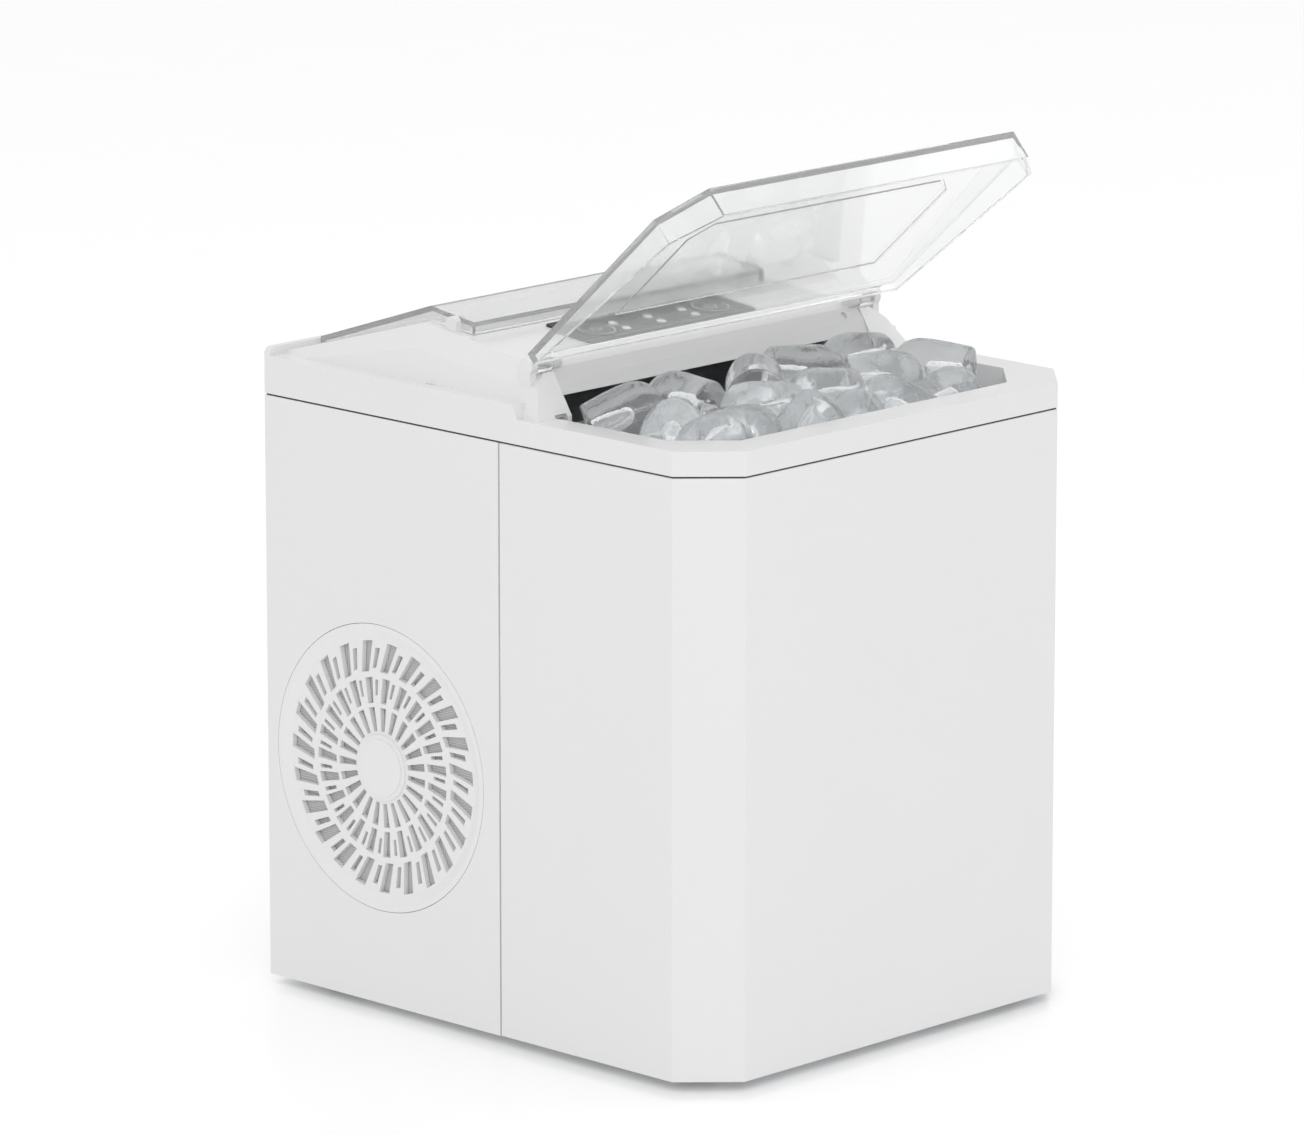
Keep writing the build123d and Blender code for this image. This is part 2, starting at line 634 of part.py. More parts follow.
# ---------------------------------------------------------------- controls
def control_overlay():
    plane = deck_plane()
    depth = (PANEL_Y1 - PANEL_Y0) / math.cos(math.radians(DECK_SLOPE))
    mid = ((PANEL_Y0 + PANEL_Y1) / 2 - BUTTON_Y) / math.cos(math.radians(DECK_SLOPE))
    sheet = Pos(0, mid, PANEL_T / 2) * Box(2 * PANEL_HALF, depth, PANEL_T)
    sheet = fillet(sheet.edges().filter_by(Axis.Z), 2.0)
    for x in (-BUTTON_X, BUTTON_X):
        sheet -= Pos(x, 0, 0) * Cylinder(BUTTON_R + BUTTON_GAP, 4)
    for x, y in light_places():
        sheet -= Pos(x, y, 0) * Cylinder(LIGHT_R + 0.15, 4)
    return plane * sheet


def button(x):
    """Round key: cap, and a stem down to its switch on the board."""
    cap_h = PANEL_T + BUTTON_RISE + COVER_T - 0.3
    cap = Pos(x, 0, PANEL_T + BUTTON_RISE - cap_h / 2) * Cylinder(BUTTON_R, cap_h)
    cap = fillet(cap.edges().filter_by(GeomType.CIRCLE).sort_by(Axis.Z)[-1], 0.4)
    stem_top = PANEL_T + BUTTON_RISE - cap_h
    stem_end = -BOARD_DROP + 3.0 + BUTTON_TRAVEL + 0.1
    stem = Pos(x, 0, (stem_top + stem_end) / 2) * Cylinder(BUTTON_STEM_R, stem_top - stem_end + 0.2)
    return deck_plane() * (cap + stem)


def select_button():
    return button(-BUTTON_X)


def power_button():
    return button(BUTTON_X)


def indicator_lights():
    """Six light pipes from the board to the panel surface."""
    height = BOARD_DROP + PANEL_T
    pipes = []
    for x, y in light_places():
        pipes.append(Pos(x, y, PANEL_T - height / 2 + 0.1) * Cylinder(LIGHT_R, height - 0.2))
    return deck_plane() * Compound(children=pipes)


def display_board():
    """Board on four posts under the deck, with a switch below each button."""
    board = Pos(0, 0, -BOARD_DROP - BOARD_T / 2) * Box(2 * PANEL_HALF - 4, 26, BOARD_T)
    for x in (-BUTTON_X, BUTTON_X):
        board += Pos(x, 0, -BOARD_DROP + 1.5) * Box(6, 6, 3)
    for x in (-PANEL_HALF + 5, PANEL_HALF - 5):
        for y in (-10, 10):
            post = -COVER_T - 0.05
            board += Pos(x, y, (post - BOARD_DROP) / 2) * Cylinder(2.0, BOARD_DROP + post)
    return deck_plane() * board


# ---------------------------------------------------------------- cold chamber
def liner_solid(inset, top):
    corner = LINER_CORNER - inset * (2 - math.sqrt(2))
    tank = outline(LINER_HALF - inset, LINER_FRONT_Y + inset, LINER_STEP_Y - inset, corner)
    tank = Pos(0, 0, LINER_FLOOR_Z + inset) * extrude(tank, top - LINER_FLOOR_Z - inset)
    chamber = box(-LINER_HALF + inset, LINER_HALF - inset, LINER_STEP_Y - 20, LINER_BACK_Y - inset,
                  CHAMBER_FLOOR_Z + inset, top)
    return tank + chamber


def inner_liner():
    """One moulding: water tank below the basket, ice-making chamber behind it."""
    liner = liner_solid(0, LINER_TOP_Z) - liner_solid(LINER_T, LINER_TOP_Z + 1)
    inside = LINER_HALF - LINER_T
    ledge = box(inside - 2.0, inside + 0.5, BASKET_FRONT_Y + 18, BASKET_BACK_Y, LEDGE_Z - 4, LEDGE_Z)
    liner += pair(ledge)
    pivot = x_rod(SHOVEL_PIN_R + PIN_FIT, inside - 3, LINER_HALF + 1, SHOVEL_Y, SHOVEL_Z)
    liner -= pivot
    liner -= x_rod(PLUG_R + 1.8, inside - 3, LINER_HALF + 1, PLUG_Y, PLUG_Z)
    liner -= rod(DUCT_R + 0.1, (0, LINER_STEP_Y - 5, DUCT_Z), (0, LINER_STEP_Y + 2, DUCT_Z))
    floor = CHAMBER_FLOOR_Z
    liner -= rod(HOSE_R + 0.1, (PUMP_X, PUMP_Y, floor - 3), (PUMP_X, PUMP_Y, floor + 4))
    liner -= rod(HOSE_R + 0.1, (PUMP_X, LINER_STEP_Y - 5, INTAKE_Z), (PUMP_X, LINER_STEP_Y + 2, INTAKE_Z))
    z = evap_z()
    liner -= rod(SUCTION_R + 0.1, (SUCTION_X, LINER_BACK_Y - 5, z), (SUCTION_X, LINER_BACK_Y + 2, z))
    return liner


def insulation():
    """Foam jacket between the tank and the front shell."""
    grow = JACKET_GAP + FOAM_T
    corner = LINER_CORNER + grow * (2 - math.sqrt(2))
    face = outline(LINER_HALF + grow, LINER_FRONT_Y - grow, LINER_STEP_Y, corner)
    foam = Pos(0, 0, jacket_floor_z()) * extrude(face, SHELL_TOP - LIP_H - 3 - jacket_floor_z())
    corner = LINER_CORNER + JACKET_GAP * (2 - math.sqrt(2))
    hole = outline(LINER_HALF + JACKET_GAP, LINER_FRONT_Y - JACKET_GAP, LINER_STEP_Y + 5, corner)
    foam -= Pos(0, 0, LINER_FLOOR_Z - JACKET_GAP) * extrude(hole, 300)
    foam -= x_rod(PLUG_R + 1.8, LINER_HALF - 1, HALF_W, PLUG_Y, PLUG_Z)
    return foam


def ice_basket():
    """Lift-out basket with a low back wall and a slotted floor."""
    def block(inset, z0):
        corner = BASKET_CORNER - inset * (2 - math.sqrt(2))
        face = outline(BASKET_HALF - inset, BASKET_FRONT_Y + inset, BASKET_BACK_Y - inset, corner)
        return Pos(0, 0, z0) * extrude(face, BASKET_TOP_Z - z0)
    basket = block(0, BASKET_FLOOR_Z) - Pos(0, 0, 0.01) * block(BASKET_T, BASKET_FLOOR_Z + BASKET_T)
    basket -= box(-BASKET_HALF + 8, BASKET_HALF - 8, BASKET_BACK_Y - 8, BASKET_BACK_Y + 5,
                  BASKET_FLOOR_Z + 18, BASKET_TOP_Z + 5)
    flange = box(BASKET_HALF - 0.5, BASKET_HALF + 2.6, BASKET_FRONT_Y + 20, BASKET_BACK_Y - 1,
                 LEDGE_Z + 0.3, BASKET_TOP_Z)
    basket += pair(flange)
    for i in range(9):
        x = -72 + i * 18
        basket -= box(x - 2, x + 2, BASKET_FRONT_Y + 14, BASKET_BACK_Y - 14,
                      BASKET_FLOOR_Z - 1, BASKET_FLOOR_Z + BASKET_T + 1)
    return basket


# ---------------------------------------------------------------- ice making
def bracket_z():
    return LINER_TOP_Z + 0.2


def evaporator_bracket():
    """Plate across the chamber with two hangers for the tray's pins."""
    z0 = bracket_z()
    plate = box(-LINER_HALF + 0.5, LINER_HALF - 0.5, 4, 56, z0, z0 + 2)
    hanger = box(75, 77, 36, 52, TRAY_AXIS_Z - 6, z0 + 1)
    hanger -= x_rod(TRAY_PIN_R + PIN_FIT, 70, 80, TRAY_AXIS_Y, TRAY_AXIS_Z)
    return plate + pair(hanger)


def evap_z():
    return bracket_z() - EVAP_TUBE_R - 0.1


def finger_places():
    for row, y in enumerate(FINGER_ROWS):
        count = 5 - row
        for i in range(count):
            yield (i - (count - 1) / 2) * FINGER_PITCH, y


def evaporator():
    """U-shaped cold tube with nine freezing fingers."""
    z = evap_z()
    y0, y1 = FINGER_ROWS
    reach = 2.5 * FINGER_PITCH
    path = FilletPolyline((-reach, y0, z), (reach, y0, z), (reach, y1, z), (-reach, y1, z), radius=7.9)
    tube = sweep(Plane(origin=path @ 0, z_dir=path % 0) * Circle(EVAP_TUBE_R), path=path)
    for x, y in finger_places():
        finger = Pos(x, y, (z + FINGER_TIP_Z) / 2) * Cylinder(FINGER_R, z - FINGER_TIP_Z)
        tube += fillet(finger.faces().sort_by(Axis.Z)[0].edges(), 2.5)
    return tube


def water_tray():
    """Tilting tray hung from two pins behind its back wall."""
    tray = box(-TRAY_HALF, TRAY_HALF, TRAY_FRONT_Y, TRAY_BACK_Y, TRAY_FLOOR_Z, TRAY_RIM_Z)
    tray = fillet(tray.edges().filter_by(Axis.X).sort_by(Axis.Z)[:2], 6.0)
    inner = box(-TRAY_HALF + TRAY_T, TRAY_HALF - TRAY_T, TRAY_FRONT_Y + TRAY_T, TRAY_BACK_Y - TRAY_T,
                TRAY_FLOOR_Z + TRAY_T, TRAY_RIM_Z + 8)
    inner = fillet(inner.edges().filter_by(Axis.X).sort_by(Axis.Z)[:2], 4.2)
    tray -= inner
    arm = box(TRAY_HALF - TRAY_T, TRAY_HALF + 1, TRAY_BACK_Y - 8, TRAY_AXIS_Y + 5, TRAY_RIM_Z - 8,
              TRAY_AXIS_Z + 5)
    pin = x_rod(TRAY_PIN_R, TRAY_HALF, 84, TRAY_AXIS_Y, TRAY_AXIS_Z)
    left = mirror(x_rod(TRAY_PIN_R, TRAY_HALF, 79, TRAY_AXIS_Y, TRAY_AXIS_Z), Plane.YZ)
    return tray + pair(arm) + pin + left


def tray_motor():
    """Geared motor on the chamber's right wall; the tray's pin runs in its boss."""
    y, z = TRAY_AXIS_Y, TRAY_AXIS_Z
    inside = LINER_HALF - LINER_T - 0.2
    motor = box(84.5, inside, y - 12, y + 12, z - 12, z + 12)
    motor = fillet(motor.edges().filter_by(Axis.X), 3.0)
    motor += x_rod(6, 78.5, 85, y, z)
    return motor - x_rod(TRAY_PIN_R + PIN_FIT, 78, 84.3, y, z)


def ice_shovel():
    """Comb that swings forward and sweeps the ice into the basket."""
    y, z = SHOVEL_Y, SHOVEL_Z
    shovel = box(-SHOVEL_HALF, SHOVEL_HALF, y - 2, y + 2, z - 10, z + 2)
    for i in range(9):
        x = -SHOVEL_HALF + 6 + i * (2 * SHOVEL_HALF - 12) / 8
        shovel += box(x - 5, x + 5, y - 1.2, y + 1.2, z - SHOVEL_REACH, z - 9)
    shovel += box(-SHOVEL_HALF, SHOVEL_HALF, y - 1.6, y + 1.6, z - SHOVEL_REACH, z - SHOVEL_REACH + 6)
    right = x_rod(SHOVEL_PIN_R, SHOVEL_HALF - 2, LINER_HALF - 0.3, y, z)
    left = x_rod(SHOVEL_PIN_R, -SHOVEL_HALF - 6, 2 - SHOVEL_HALF, y, z)
    return shovel + right + left


def shovel_motor():
    """Small geared motor on the chamber's left wall."""
    y, z = SHOVEL_Y, SHOVEL_Z
    inside = LINER_HALF - LINER_T - 0.2
    motor = box(-inside, -SHOVEL_HALF - 6.5, y - 9, y + 9, z - 14, z + 6)
    motor = fillet(motor.edges().filter_by(Axis.X), 3.0)
    motor += x_rod(5, -SHOVEL_HALF - 7, -SHOVEL_HALF - 1.0, y, z)
    return motor - x_rod(SHOVEL_PIN_R + PIN_FIT, -SHOVEL_HALF - 6.2, -SHOVEL_HALF, y, z)


def ice_level_sensor():
    """Emitter and receiver that look across the basket's mouth."""
    inside = LINER_HALF - LINER_T - 0.1
    eye = box(inside - 5, inside, -29.5, -21.5, 238, 248)
    lens = x_rod(2.0, inside - 6.5, inside - 4, -25.5, 243)
    return both_sides(eye + lens)


# ---------------------------------------------------------------- machinery
def compressor():
    z0 = BASE_TOP + 6
    body = Pos(COMP_X, COMP_Y, z0 + COMP_H / 2) * Cylinder(COMP_R, COMP_H)
    top = body.faces().sort_by(Axis.Z)[-1].edges()
    bottom = body.faces().sort_by(Axis.Z)[0].edges()
    body = fillet(top, 22.0)
    body = fillet(body.faces().sort_by(Axis.Z)[0].edges(), 8.0)
    seam = Pos(COMP_X, COMP_Y, z0 + COMP_H * 0.55) * Cylinder(COMP_R + 1.5, 4)
    plate = Pos(COMP_X, COMP_Y, z0 + 1.5) * Box(COMP_PLATE, COMP_PLATE, 3)
    plate = fillet(plate.edges().filter_by(Axis.Z), 14)
    for x, y in grommet_places():
        plate -= Pos(x, y, z0) * Cylinder(4.2, 12)
    for x, y, radius in ((COMP_X - 24, COMP_Y, DISCHARGE_R), (COMP_X + 18, COMP_Y, SUCTION_R)):
        body += rod(radius, (x, y, z0 + COMP_H - 14), (x, y, stub_z()))
    return body + seam + plate


def stub_z():
    """Top of the compressor's two tube stubs."""
    return BASE_TOP + 6 + COMP_H + 4


def grommet_places():
    for x in (-COMP_MOUNT, COMP_MOUNT):
        for y in (-COMP_MOUNT, COMP_MOUNT):
            yield COMP_X + x, COMP_Y + y


def compressor_grommets():
    """Rubber mounts: a wide foot below the plate and a neck through it."""
    mounts = []
    for x, y in grommet_places():
        foot = Pos(x, y, BASE_TOP + 3) * Cylinder(7.0, 6)
        neck = Pos(x, y, BASE_TOP + 7) * Cylinder(4.0, 8)
        mounts.append(foot + neck)
    return Compound(children=mounts)


def condenser():
    """Fin pack crossed by six passes of tube, on two feet."""
    y0, y1 = FAN_Y - COIL_HALF, FAN_Y + COIL_HALF
    z0, z1 = FAN_Z - COIL_HALF, FAN_Z + COIL_HALF
    pack = box(COIL_X0, COIL_X1, y0, y0 + 1.2, z0, z1)
    fins = 22
    for i in range(1, fins + 1):
        y = y0 + i * (2 * COIL_HALF - 1.2) / fins
        pack += box(COIL_X0 + 1, COIL_X1 - 1, y, y + 1.0, z0 + 1, z1 - 1)
    for i in range(6):
        z = coil_pass_z(i)
        x = (COIL_X0 + COIL_X1) / 2
        pack += rod(3.2, (x, y0 - COIL_END, z), (x, y1 + COIL_END, z))
    for y in (y0 + 10, y1 - 14):
        pack += box(COIL_X0 + 3, COIL_X1 - 3, y, y + 4, BASE_TOP + 0.1, z0 + 2)
    return pack


def coil_pass_z(i):
    """Height of one of the six tube passes."""
    return FAN_Z - COIL_HALF + 10 + i * 18


def fan_shroud():
    """Square frame on the condenser with a ring round the blades and a motor cage."""
    x1 = COIL_X0 - 0.2
    half = COIL_HALF
    frame = box(x1 - 3, x1, FAN_Y - half, FAN_Y + half, FAN_Z - half, FAN_Z + half)
    frame -= x_rod(SHROUD_R, x1 - 5, x1 + 2, FAN_Y, FAN_Z)
    ring = x_rod(SHROUD_R + 2.2, -104, x1 - 2, FAN_Y, FAN_Z) - x_rod(SHROUD_R, -110, x1 + 5, FAN_Y, FAN_Z)
    frame += ring
    for i in range(4):
        arm = box(x1 - 3, x1, -2.5, 2.5, FAN_MOTOR_R + 2, SHROUD_R + 1)
        frame += Pos(0, FAN_Y, FAN_Z) * Rot(45 + 90 * i, 0, 0) * arm
    cage = x_rod(FAN_MOTOR_R + 3, x1 - 9, x1, FAN_Y, FAN_Z) - x_rod(FAN_MOTOR_R + 0.2, x1 - 12, x1 + 2, FAN_Y, FAN_Z)
    return frame + cage


def fan_motor():
    x1 = COIL_X0 - 0.4
    motor = x_rod(FAN_MOTOR_R, x1 - 22, x1, FAN_Y, FAN_Z)
    motor = fillet(motor.edges().filter_by(GeomType.CIRCLE), 1.5)
    return motor + x_rod(FAN_SHAFT_R, x1 - 36, x1 - 20, FAN_Y, FAN_Z)


def fan_blade():
    """Five-blade impeller running on the motor's shaft."""
    x0, x1 = -102.0, -87.0
    hub = x_rod(15.0, x0, x1, FAN_Y, FAN_Z)
    blade = box(-1.0, 1.0, -11.0, 11.0, 0, BLADE_R) & x_rod(BLADE_R, -20, 20, 0, 0)
    for i in range(5):
        pose = Pos((x0 + x1) / 2, FAN_Y, FAN_Z) * Rot(72 * i, 0, 0) * Rot(0, 0, 55)
        hub += pose * (Pos(0, 0, 12) * box(-0.9, 0.9, -6.5, 6.5, 0, BLADE_R - 13))
    return hub - x_rod(FAN_SHAFT_R + PIN_FIT, -100, x1 + 1, FAN_Y, FAN_Z)


def filter_drier():
    """Copper drier clipped to the condenser's top."""
    y, z = FAN_Y + 10, FAN_Z + COIL_HALF - 1 + 6.6
    body = rod(6.5, (-50, y - 30, z), (-50, y + 30, z))
    body = chamfer(body.edges().filter_by(GeomType.CIRCLE), 2.5)
    return body + rod(1.6, (-50, y - 36, z), (-50, y + 36, z))


def bent_tube(radius, points, bends):
    path = FilletPolyline(*points, radius=bends)
    return sweep(Plane(origin=path @ 0, z_dir=path % 0) * Circle(radius), path=path)


def refrigerant_lines():
    """Discharge line to the condenser and suction line from the evaporator."""
    z = coil_pass_z(5)
    x = (COIL_X0 + COIL_X1) / 2
    y_end = FAN_Y - COIL_HALF - COIL_END
    x_comp = COMP_X - 24
    discharge = bent_tube(DISCHARGE_R, (
        (x_comp, COMP_Y, stub_z() + 0.1), (x_comp, COMP_Y, z), (-20, COMP_Y, z), (-20, y_end - 16, z),
        (x, y_end - 16, z), (x, y_end - 0.1, z)), 9)
    z = evap_z()
    y = FINGER_ROWS[1]
    y_down = COMP_Y + 4
    x_comp = COMP_X + 18
    suction = bent_tube(SUCTION_R, (
        (-2.5 * FINGER_PITCH - 0.1, y, z), (SUCTION_X, y, z), (SUCTION_X, y_down, z), (x_comp, y_down, z),
        (x_comp, y_down, z - 60), (x_comp, COMP_Y, z - 80), (x_comp, COMP_Y, stub_z() + 0.1)), 9)
    return Compound(children=[discharge, suction])


def water_pump():
    z0 = BASE_TOP
    pump = Pos(PUMP_X, PUMP_Y, z0 + 4 + PUMP_H / 2) * Cylinder(PUMP_R, PUMP_H)
    pump += box(PUMP_X - 16, PUMP_X + 16, PUMP_Y - 16, PUMP_Y + 16, z0 + 0.1, z0 + 4.4)
    return pump + Pos(PUMP_X, PUMP_Y, z0 + 4 + PUMP_H + 3) * Cylinder(HOSE_BORE - 0.1, 8)


def pump_hose():
    """Riser from the pump through the chamber floor to the tray's right end."""
    z0 = BASE_TOP + PUMP_H + 4.2
    z1 = TRAY_RIM_Z + 1.4 + HOSE_R
    points = ((PUMP_X, PUMP_Y, z0), (PUMP_X, PUMP_Y, z1), (TRAY_HALF - 7, PUMP_Y, z1))
    return bent_tube(HOSE_R, points, 12) - bent_tube(HOSE_BORE, points, 12)


def intake_hose():
    """Hose from the tank's outlet to the side of the pump."""
    y0 = LINER_STEP_Y - LINER_T
    y_down = (LINER_STEP_Y + PUMP_Y - PUMP_R) / 2
    points = ((PUMP_X, y0, INTAKE_Z), (PUMP_X, y_down, INTAKE_Z), (PUMP_X, y_down, 30),
              (PUMP_X, PUMP_Y - PUMP_R - 0.1, 30))
    return bent_tube(HOSE_R, points, 6) - bent_tube(HOSE_BORE, points, 6)


def fill_duct():
    """Duct from the strainer down and forward into the tank."""
    points = ((0, STRAINER_Y, duct_top_z()), (0, STRAINER_Y, DUCT_Z), (0, LINER_STEP_Y - 1, DUCT_Z))
    return bent_tube(DUCT_R, points, 16) - bent_tube(DUCT_BORE, points, 16)


def strainer():
    """Slotted cup that drops into the duct's mouth; its brim lies on the sloping floor."""
    z = basin_floor_z(STRAINER_Y)
    tilt = math.radians(BASIN_FALL)
    floor = Plane(origin=(0, STRAINER_Y, z), x_dir=(1, 0, 0), z_dir=(0, math.sin(tilt), math.cos(tilt)))
    cup = floor * (Pos(0, 0, 0.9) * Cylinder(STRAINER_R, 1.6))
    cup += rod(DUCT_BORE - 0.2, (0, STRAINER_Y, z - 12), (0, STRAINER_Y, z + 0.8))
    cup -= rod(DUCT_BORE - 1.6, (0, STRAINER_Y, z - 13), (0, STRAINER_Y, z - 1.5))
    for i in range(5):
        x = -5 + i * 2.5
        cup -= box(x - 0.5, x + 0.5, STRAINER_Y - 4, STRAINER_Y + 4, z - 3, z + 4)
    return cup


def drain_spout():
    """Tube from the tank's wall to the drain opening in the side."""
    x0 = LINER_HALF - LINER_T
    tube = x_rod(PLUG_R + 1.6, x0, HALF_W - 4.5, PLUG_Y, PLUG_Z)
    return tube - x_rod(PLUG_R + 0.05, x0 - 1, HALF_W, PLUG_Y, PLUG_Z)


def drain_plug():
    """Rubber plug, pulled straight out to empty the tank."""
    x1 = HALF_W - 0.4
    plug = x_rod(PLUG_R, LINER_HALF + 0.5, x1 - 3, PLUG_Y, PLUG_Z)
    head = x_rod(PLUG_HEAD_R, x1 - 3.6, x1, PLUG_Y, PLUG_Z)
    head -= pair(box(x1 - 1.6, x1 + 1, PLUG_Y + 2.0, PLUG_Y + 8.5, PLUG_Z - 5, PLUG_Z + 5))
    head -= box(x1 - 1.6, x1 + 1, PLUG_Y - 8.5, PLUG_Y - 2.0, PLUG_Z - 5, PLUG_Z + 5)
    return plug + head


def main_board():
    """Power board on the back wall: relay, transformer and capacitors."""
    y = HALF_D - SHELL_T - 12
    board = box(10, 104, y, y + BOARD_T, 150, 215)
    board += box(16, 44, y - 24, y + 0.5, 156, 184)
    board += box(52, 72, y - 16, y + 0.5, 158, 174)
    board += rod(7, (86, y - 20, 168), (86, y + 0.5, 168))
    board += box(20, 60, y - 8, y + 0.5, 194, 206)
    for x, z in standoff_places():
        board -= rod(1.6, (x, y - 1, z), (x, y + 3, z))
    return board


def standoff_places():
    for x in (15, 99):
        for z in (154, 211):
            yield x, z


def board_standoffs():
    y = HALF_D - SHELL_T
    posts = []
    for x, z in standoff_places():
        post = rod(3.0, (x, y - 12 + BOARD_T, z), (x, y, z)) + rod(1.5, (x, y - 13.5, z), (x, y - 10, z))
        posts.append(post)
    return Compound(children=posts)


def cord_gland():
    """Grommet in the back wall where the supply cord enters."""
    y = HALF_D
    flange_in = rod(GLAND_R + 2.5, (GLAND_X, y - SHELL_T - 2, GLAND_Z), (GLAND_X, y - SHELL_T, GLAND_Z))
    neck = rod(GLAND_R - 0.1, (GLAND_X, y - 14, GLAND_Z), (GLAND_X, y - 0.2, GLAND_Z))
    bore = rod(GLAND_BORE, (GLAND_X, y - 20, GLAND_Z), (GLAND_X, y + 2, GLAND_Z))
    return flange_in + neck - bore


def cover_screws():
    """Screws that hold the rear shell to the base pan, low on the back wall."""
    screws = []
    for x in SCREW_XS:
        shank = rod(SCREW_R, (x, HALF_D - 6.5, SCREW_Z), (x, HALF_D - 0.8, SCREW_Z))
        head = rod(SCREW_HEAD_R, (x, HALF_D - 1.1, SCREW_Z), (x, HALF_D - 0.1, SCREW_Z))
        head -= box(x - 2.4, x + 2.4, HALF_D - 0.6, HALF_D, SCREW_Z - 0.4, SCREW_Z + 0.4)
        head -= box(x - 0.4, x + 0.4, HALF_D - 0.6, HALF_D, SCREW_Z - 2.4, SCREW_Z + 2.4)
        screws.append(shank + head)
    return Compound(children=screws)


NODES = {
    "base_pan": base_pan,
    "rubber_feet": rubber_feet,
    "front_shell": front_shell,
    "rear_shell": rear_shell,
    "fan_grille": fan_grille,
    "grille_filter": grille_filter,
    "top_cover": top_cover,
    "hinge_bar": hinge_bar,
    "front_lid": front_lid,
    "front_lid_pins": front_lid_pins,
    "rear_cover": rear_cover,
    "rear_cover_pins": rear_cover_pins,
    "control_overlay": control_overlay,
    "select_button": select_button,
    "power_button": power_button,
    "indicator_lights": indicator_lights,
    "display_board": display_board,
    "inner_liner": inner_liner,
    "insulation": insulation,
    "ice_basket": ice_basket,
    "evaporator_bracket": evaporator_bracket,
    "evaporator": evaporator,
    "water_tray": water_tray,
    "tray_motor": tray_motor,
    "ice_shovel": ice_shovel,
    "shovel_motor": shovel_motor,
    "ice_level_sensor": ice_level_sensor,
    "compressor": compressor,
    "compressor_grommets": compressor_grommets,
    "condenser": condenser,
    "fan_shroud": fan_shroud,
    "fan_motor": fan_motor,
    "fan_blade": fan_blade,
    "filter_drier": filter_drier,
    "refrigerant_lines": refrigerant_lines,
    "water_pump": water_pump,
    "pump_hose": pump_hose,
    "intake_hose": intake_hose,
    "fill_duct": fill_duct,
    "strainer": strainer,
    "drain_spout": drain_spout,
    "drain_plug": drain_plug,
    "main_board": main_board,
    "board_standoffs": board_standoffs,
    "cord_gland": cord_gland,
    "cover_screws": cover_screws,
}

os.makedirs("parts", exist_ok=True)
for name, make in NODES.items():
    export_step(make(), f"parts/{name}.step")
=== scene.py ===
"""Finishes, ice and studio for a countertop ice maker with a raised clear lid."""

import json
import math
import random

import bmesh
import bpy
from mathutils import Matrix, Vector


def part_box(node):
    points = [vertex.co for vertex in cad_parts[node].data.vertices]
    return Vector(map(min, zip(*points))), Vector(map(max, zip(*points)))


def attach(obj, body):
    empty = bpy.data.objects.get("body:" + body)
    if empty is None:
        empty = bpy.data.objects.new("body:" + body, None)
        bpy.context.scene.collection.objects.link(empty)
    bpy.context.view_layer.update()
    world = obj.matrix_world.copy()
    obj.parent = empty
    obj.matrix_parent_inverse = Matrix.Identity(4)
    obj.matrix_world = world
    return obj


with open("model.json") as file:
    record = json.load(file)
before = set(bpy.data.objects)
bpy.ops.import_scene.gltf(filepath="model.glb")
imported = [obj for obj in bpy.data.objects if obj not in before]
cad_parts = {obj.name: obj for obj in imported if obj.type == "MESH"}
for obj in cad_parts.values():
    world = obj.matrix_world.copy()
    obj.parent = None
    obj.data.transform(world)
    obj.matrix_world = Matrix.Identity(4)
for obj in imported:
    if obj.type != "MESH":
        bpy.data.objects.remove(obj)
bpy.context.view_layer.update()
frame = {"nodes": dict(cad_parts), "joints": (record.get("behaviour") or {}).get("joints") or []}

bl_info = {
    "name": "Countertop ice maker",
    "version": (1, 0, 0),
    "blender": (4, 5, 0),
    "location": "3D View > Sidebar > Ice maker",
    "description": "Paints the ice maker, fills its basket with ice and lights it",
    "category": "Object",
}

MM = 0.001

# The control deck falls towards the front.
DECK_SLOPE = math.radians(5.8)
DECK_UP = Vector((0.0, -math.sin(DECK_SLOPE), math.cos(DECK_SLOPE)))

# The basket that holds the ice, and the heap in it.
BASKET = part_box("ice_basket")
BASKET_WALL = 0.0035
HEAP_FRONT = 0.2775  # top of the heap at the front rim
HEAP_RISE = 0.0125  # how much higher it is near the bar
PUSH_ROUNDS = 80
PUSH_SHARE = 0.3  # part of an overlap that one push takes away
BULLETS = ((1.0, 0.011), (0.94, 0.014), (1.05, 0.009))  # stretch and wave size of each model

# The shovel sweeps an arc below its axis, and the ice stays out of it.
SHOVEL = next(j for j in frame["joints"] if j["name"] == "ice_shovel_swing")
SHOVEL_AXIS = Vector(SHOVEL["pos_m"])
SHOVEL_REACH = SHOVEL_AXIS.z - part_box("ice_shovel")[0].z + 2.0 * MM
SHOVEL_SWING = math.radians(60.0)

# The open joint under the top cover, and the dark strip of painted shade set in it.
SEAM_GAP = 0.8 * MM
SEAM_INSET = 0.6 * MM
SEAM_WALL = 1.4 * MM
CUT_CORNER = 21.5 * MM
CUT_SHRINK = 0.586  # a cut corner shortens by this much of what its sides move in

# The print on the buttons.
LINE = 0.5 * MM
INK = 0.00006


# ---- sizes and colours a user would change ----

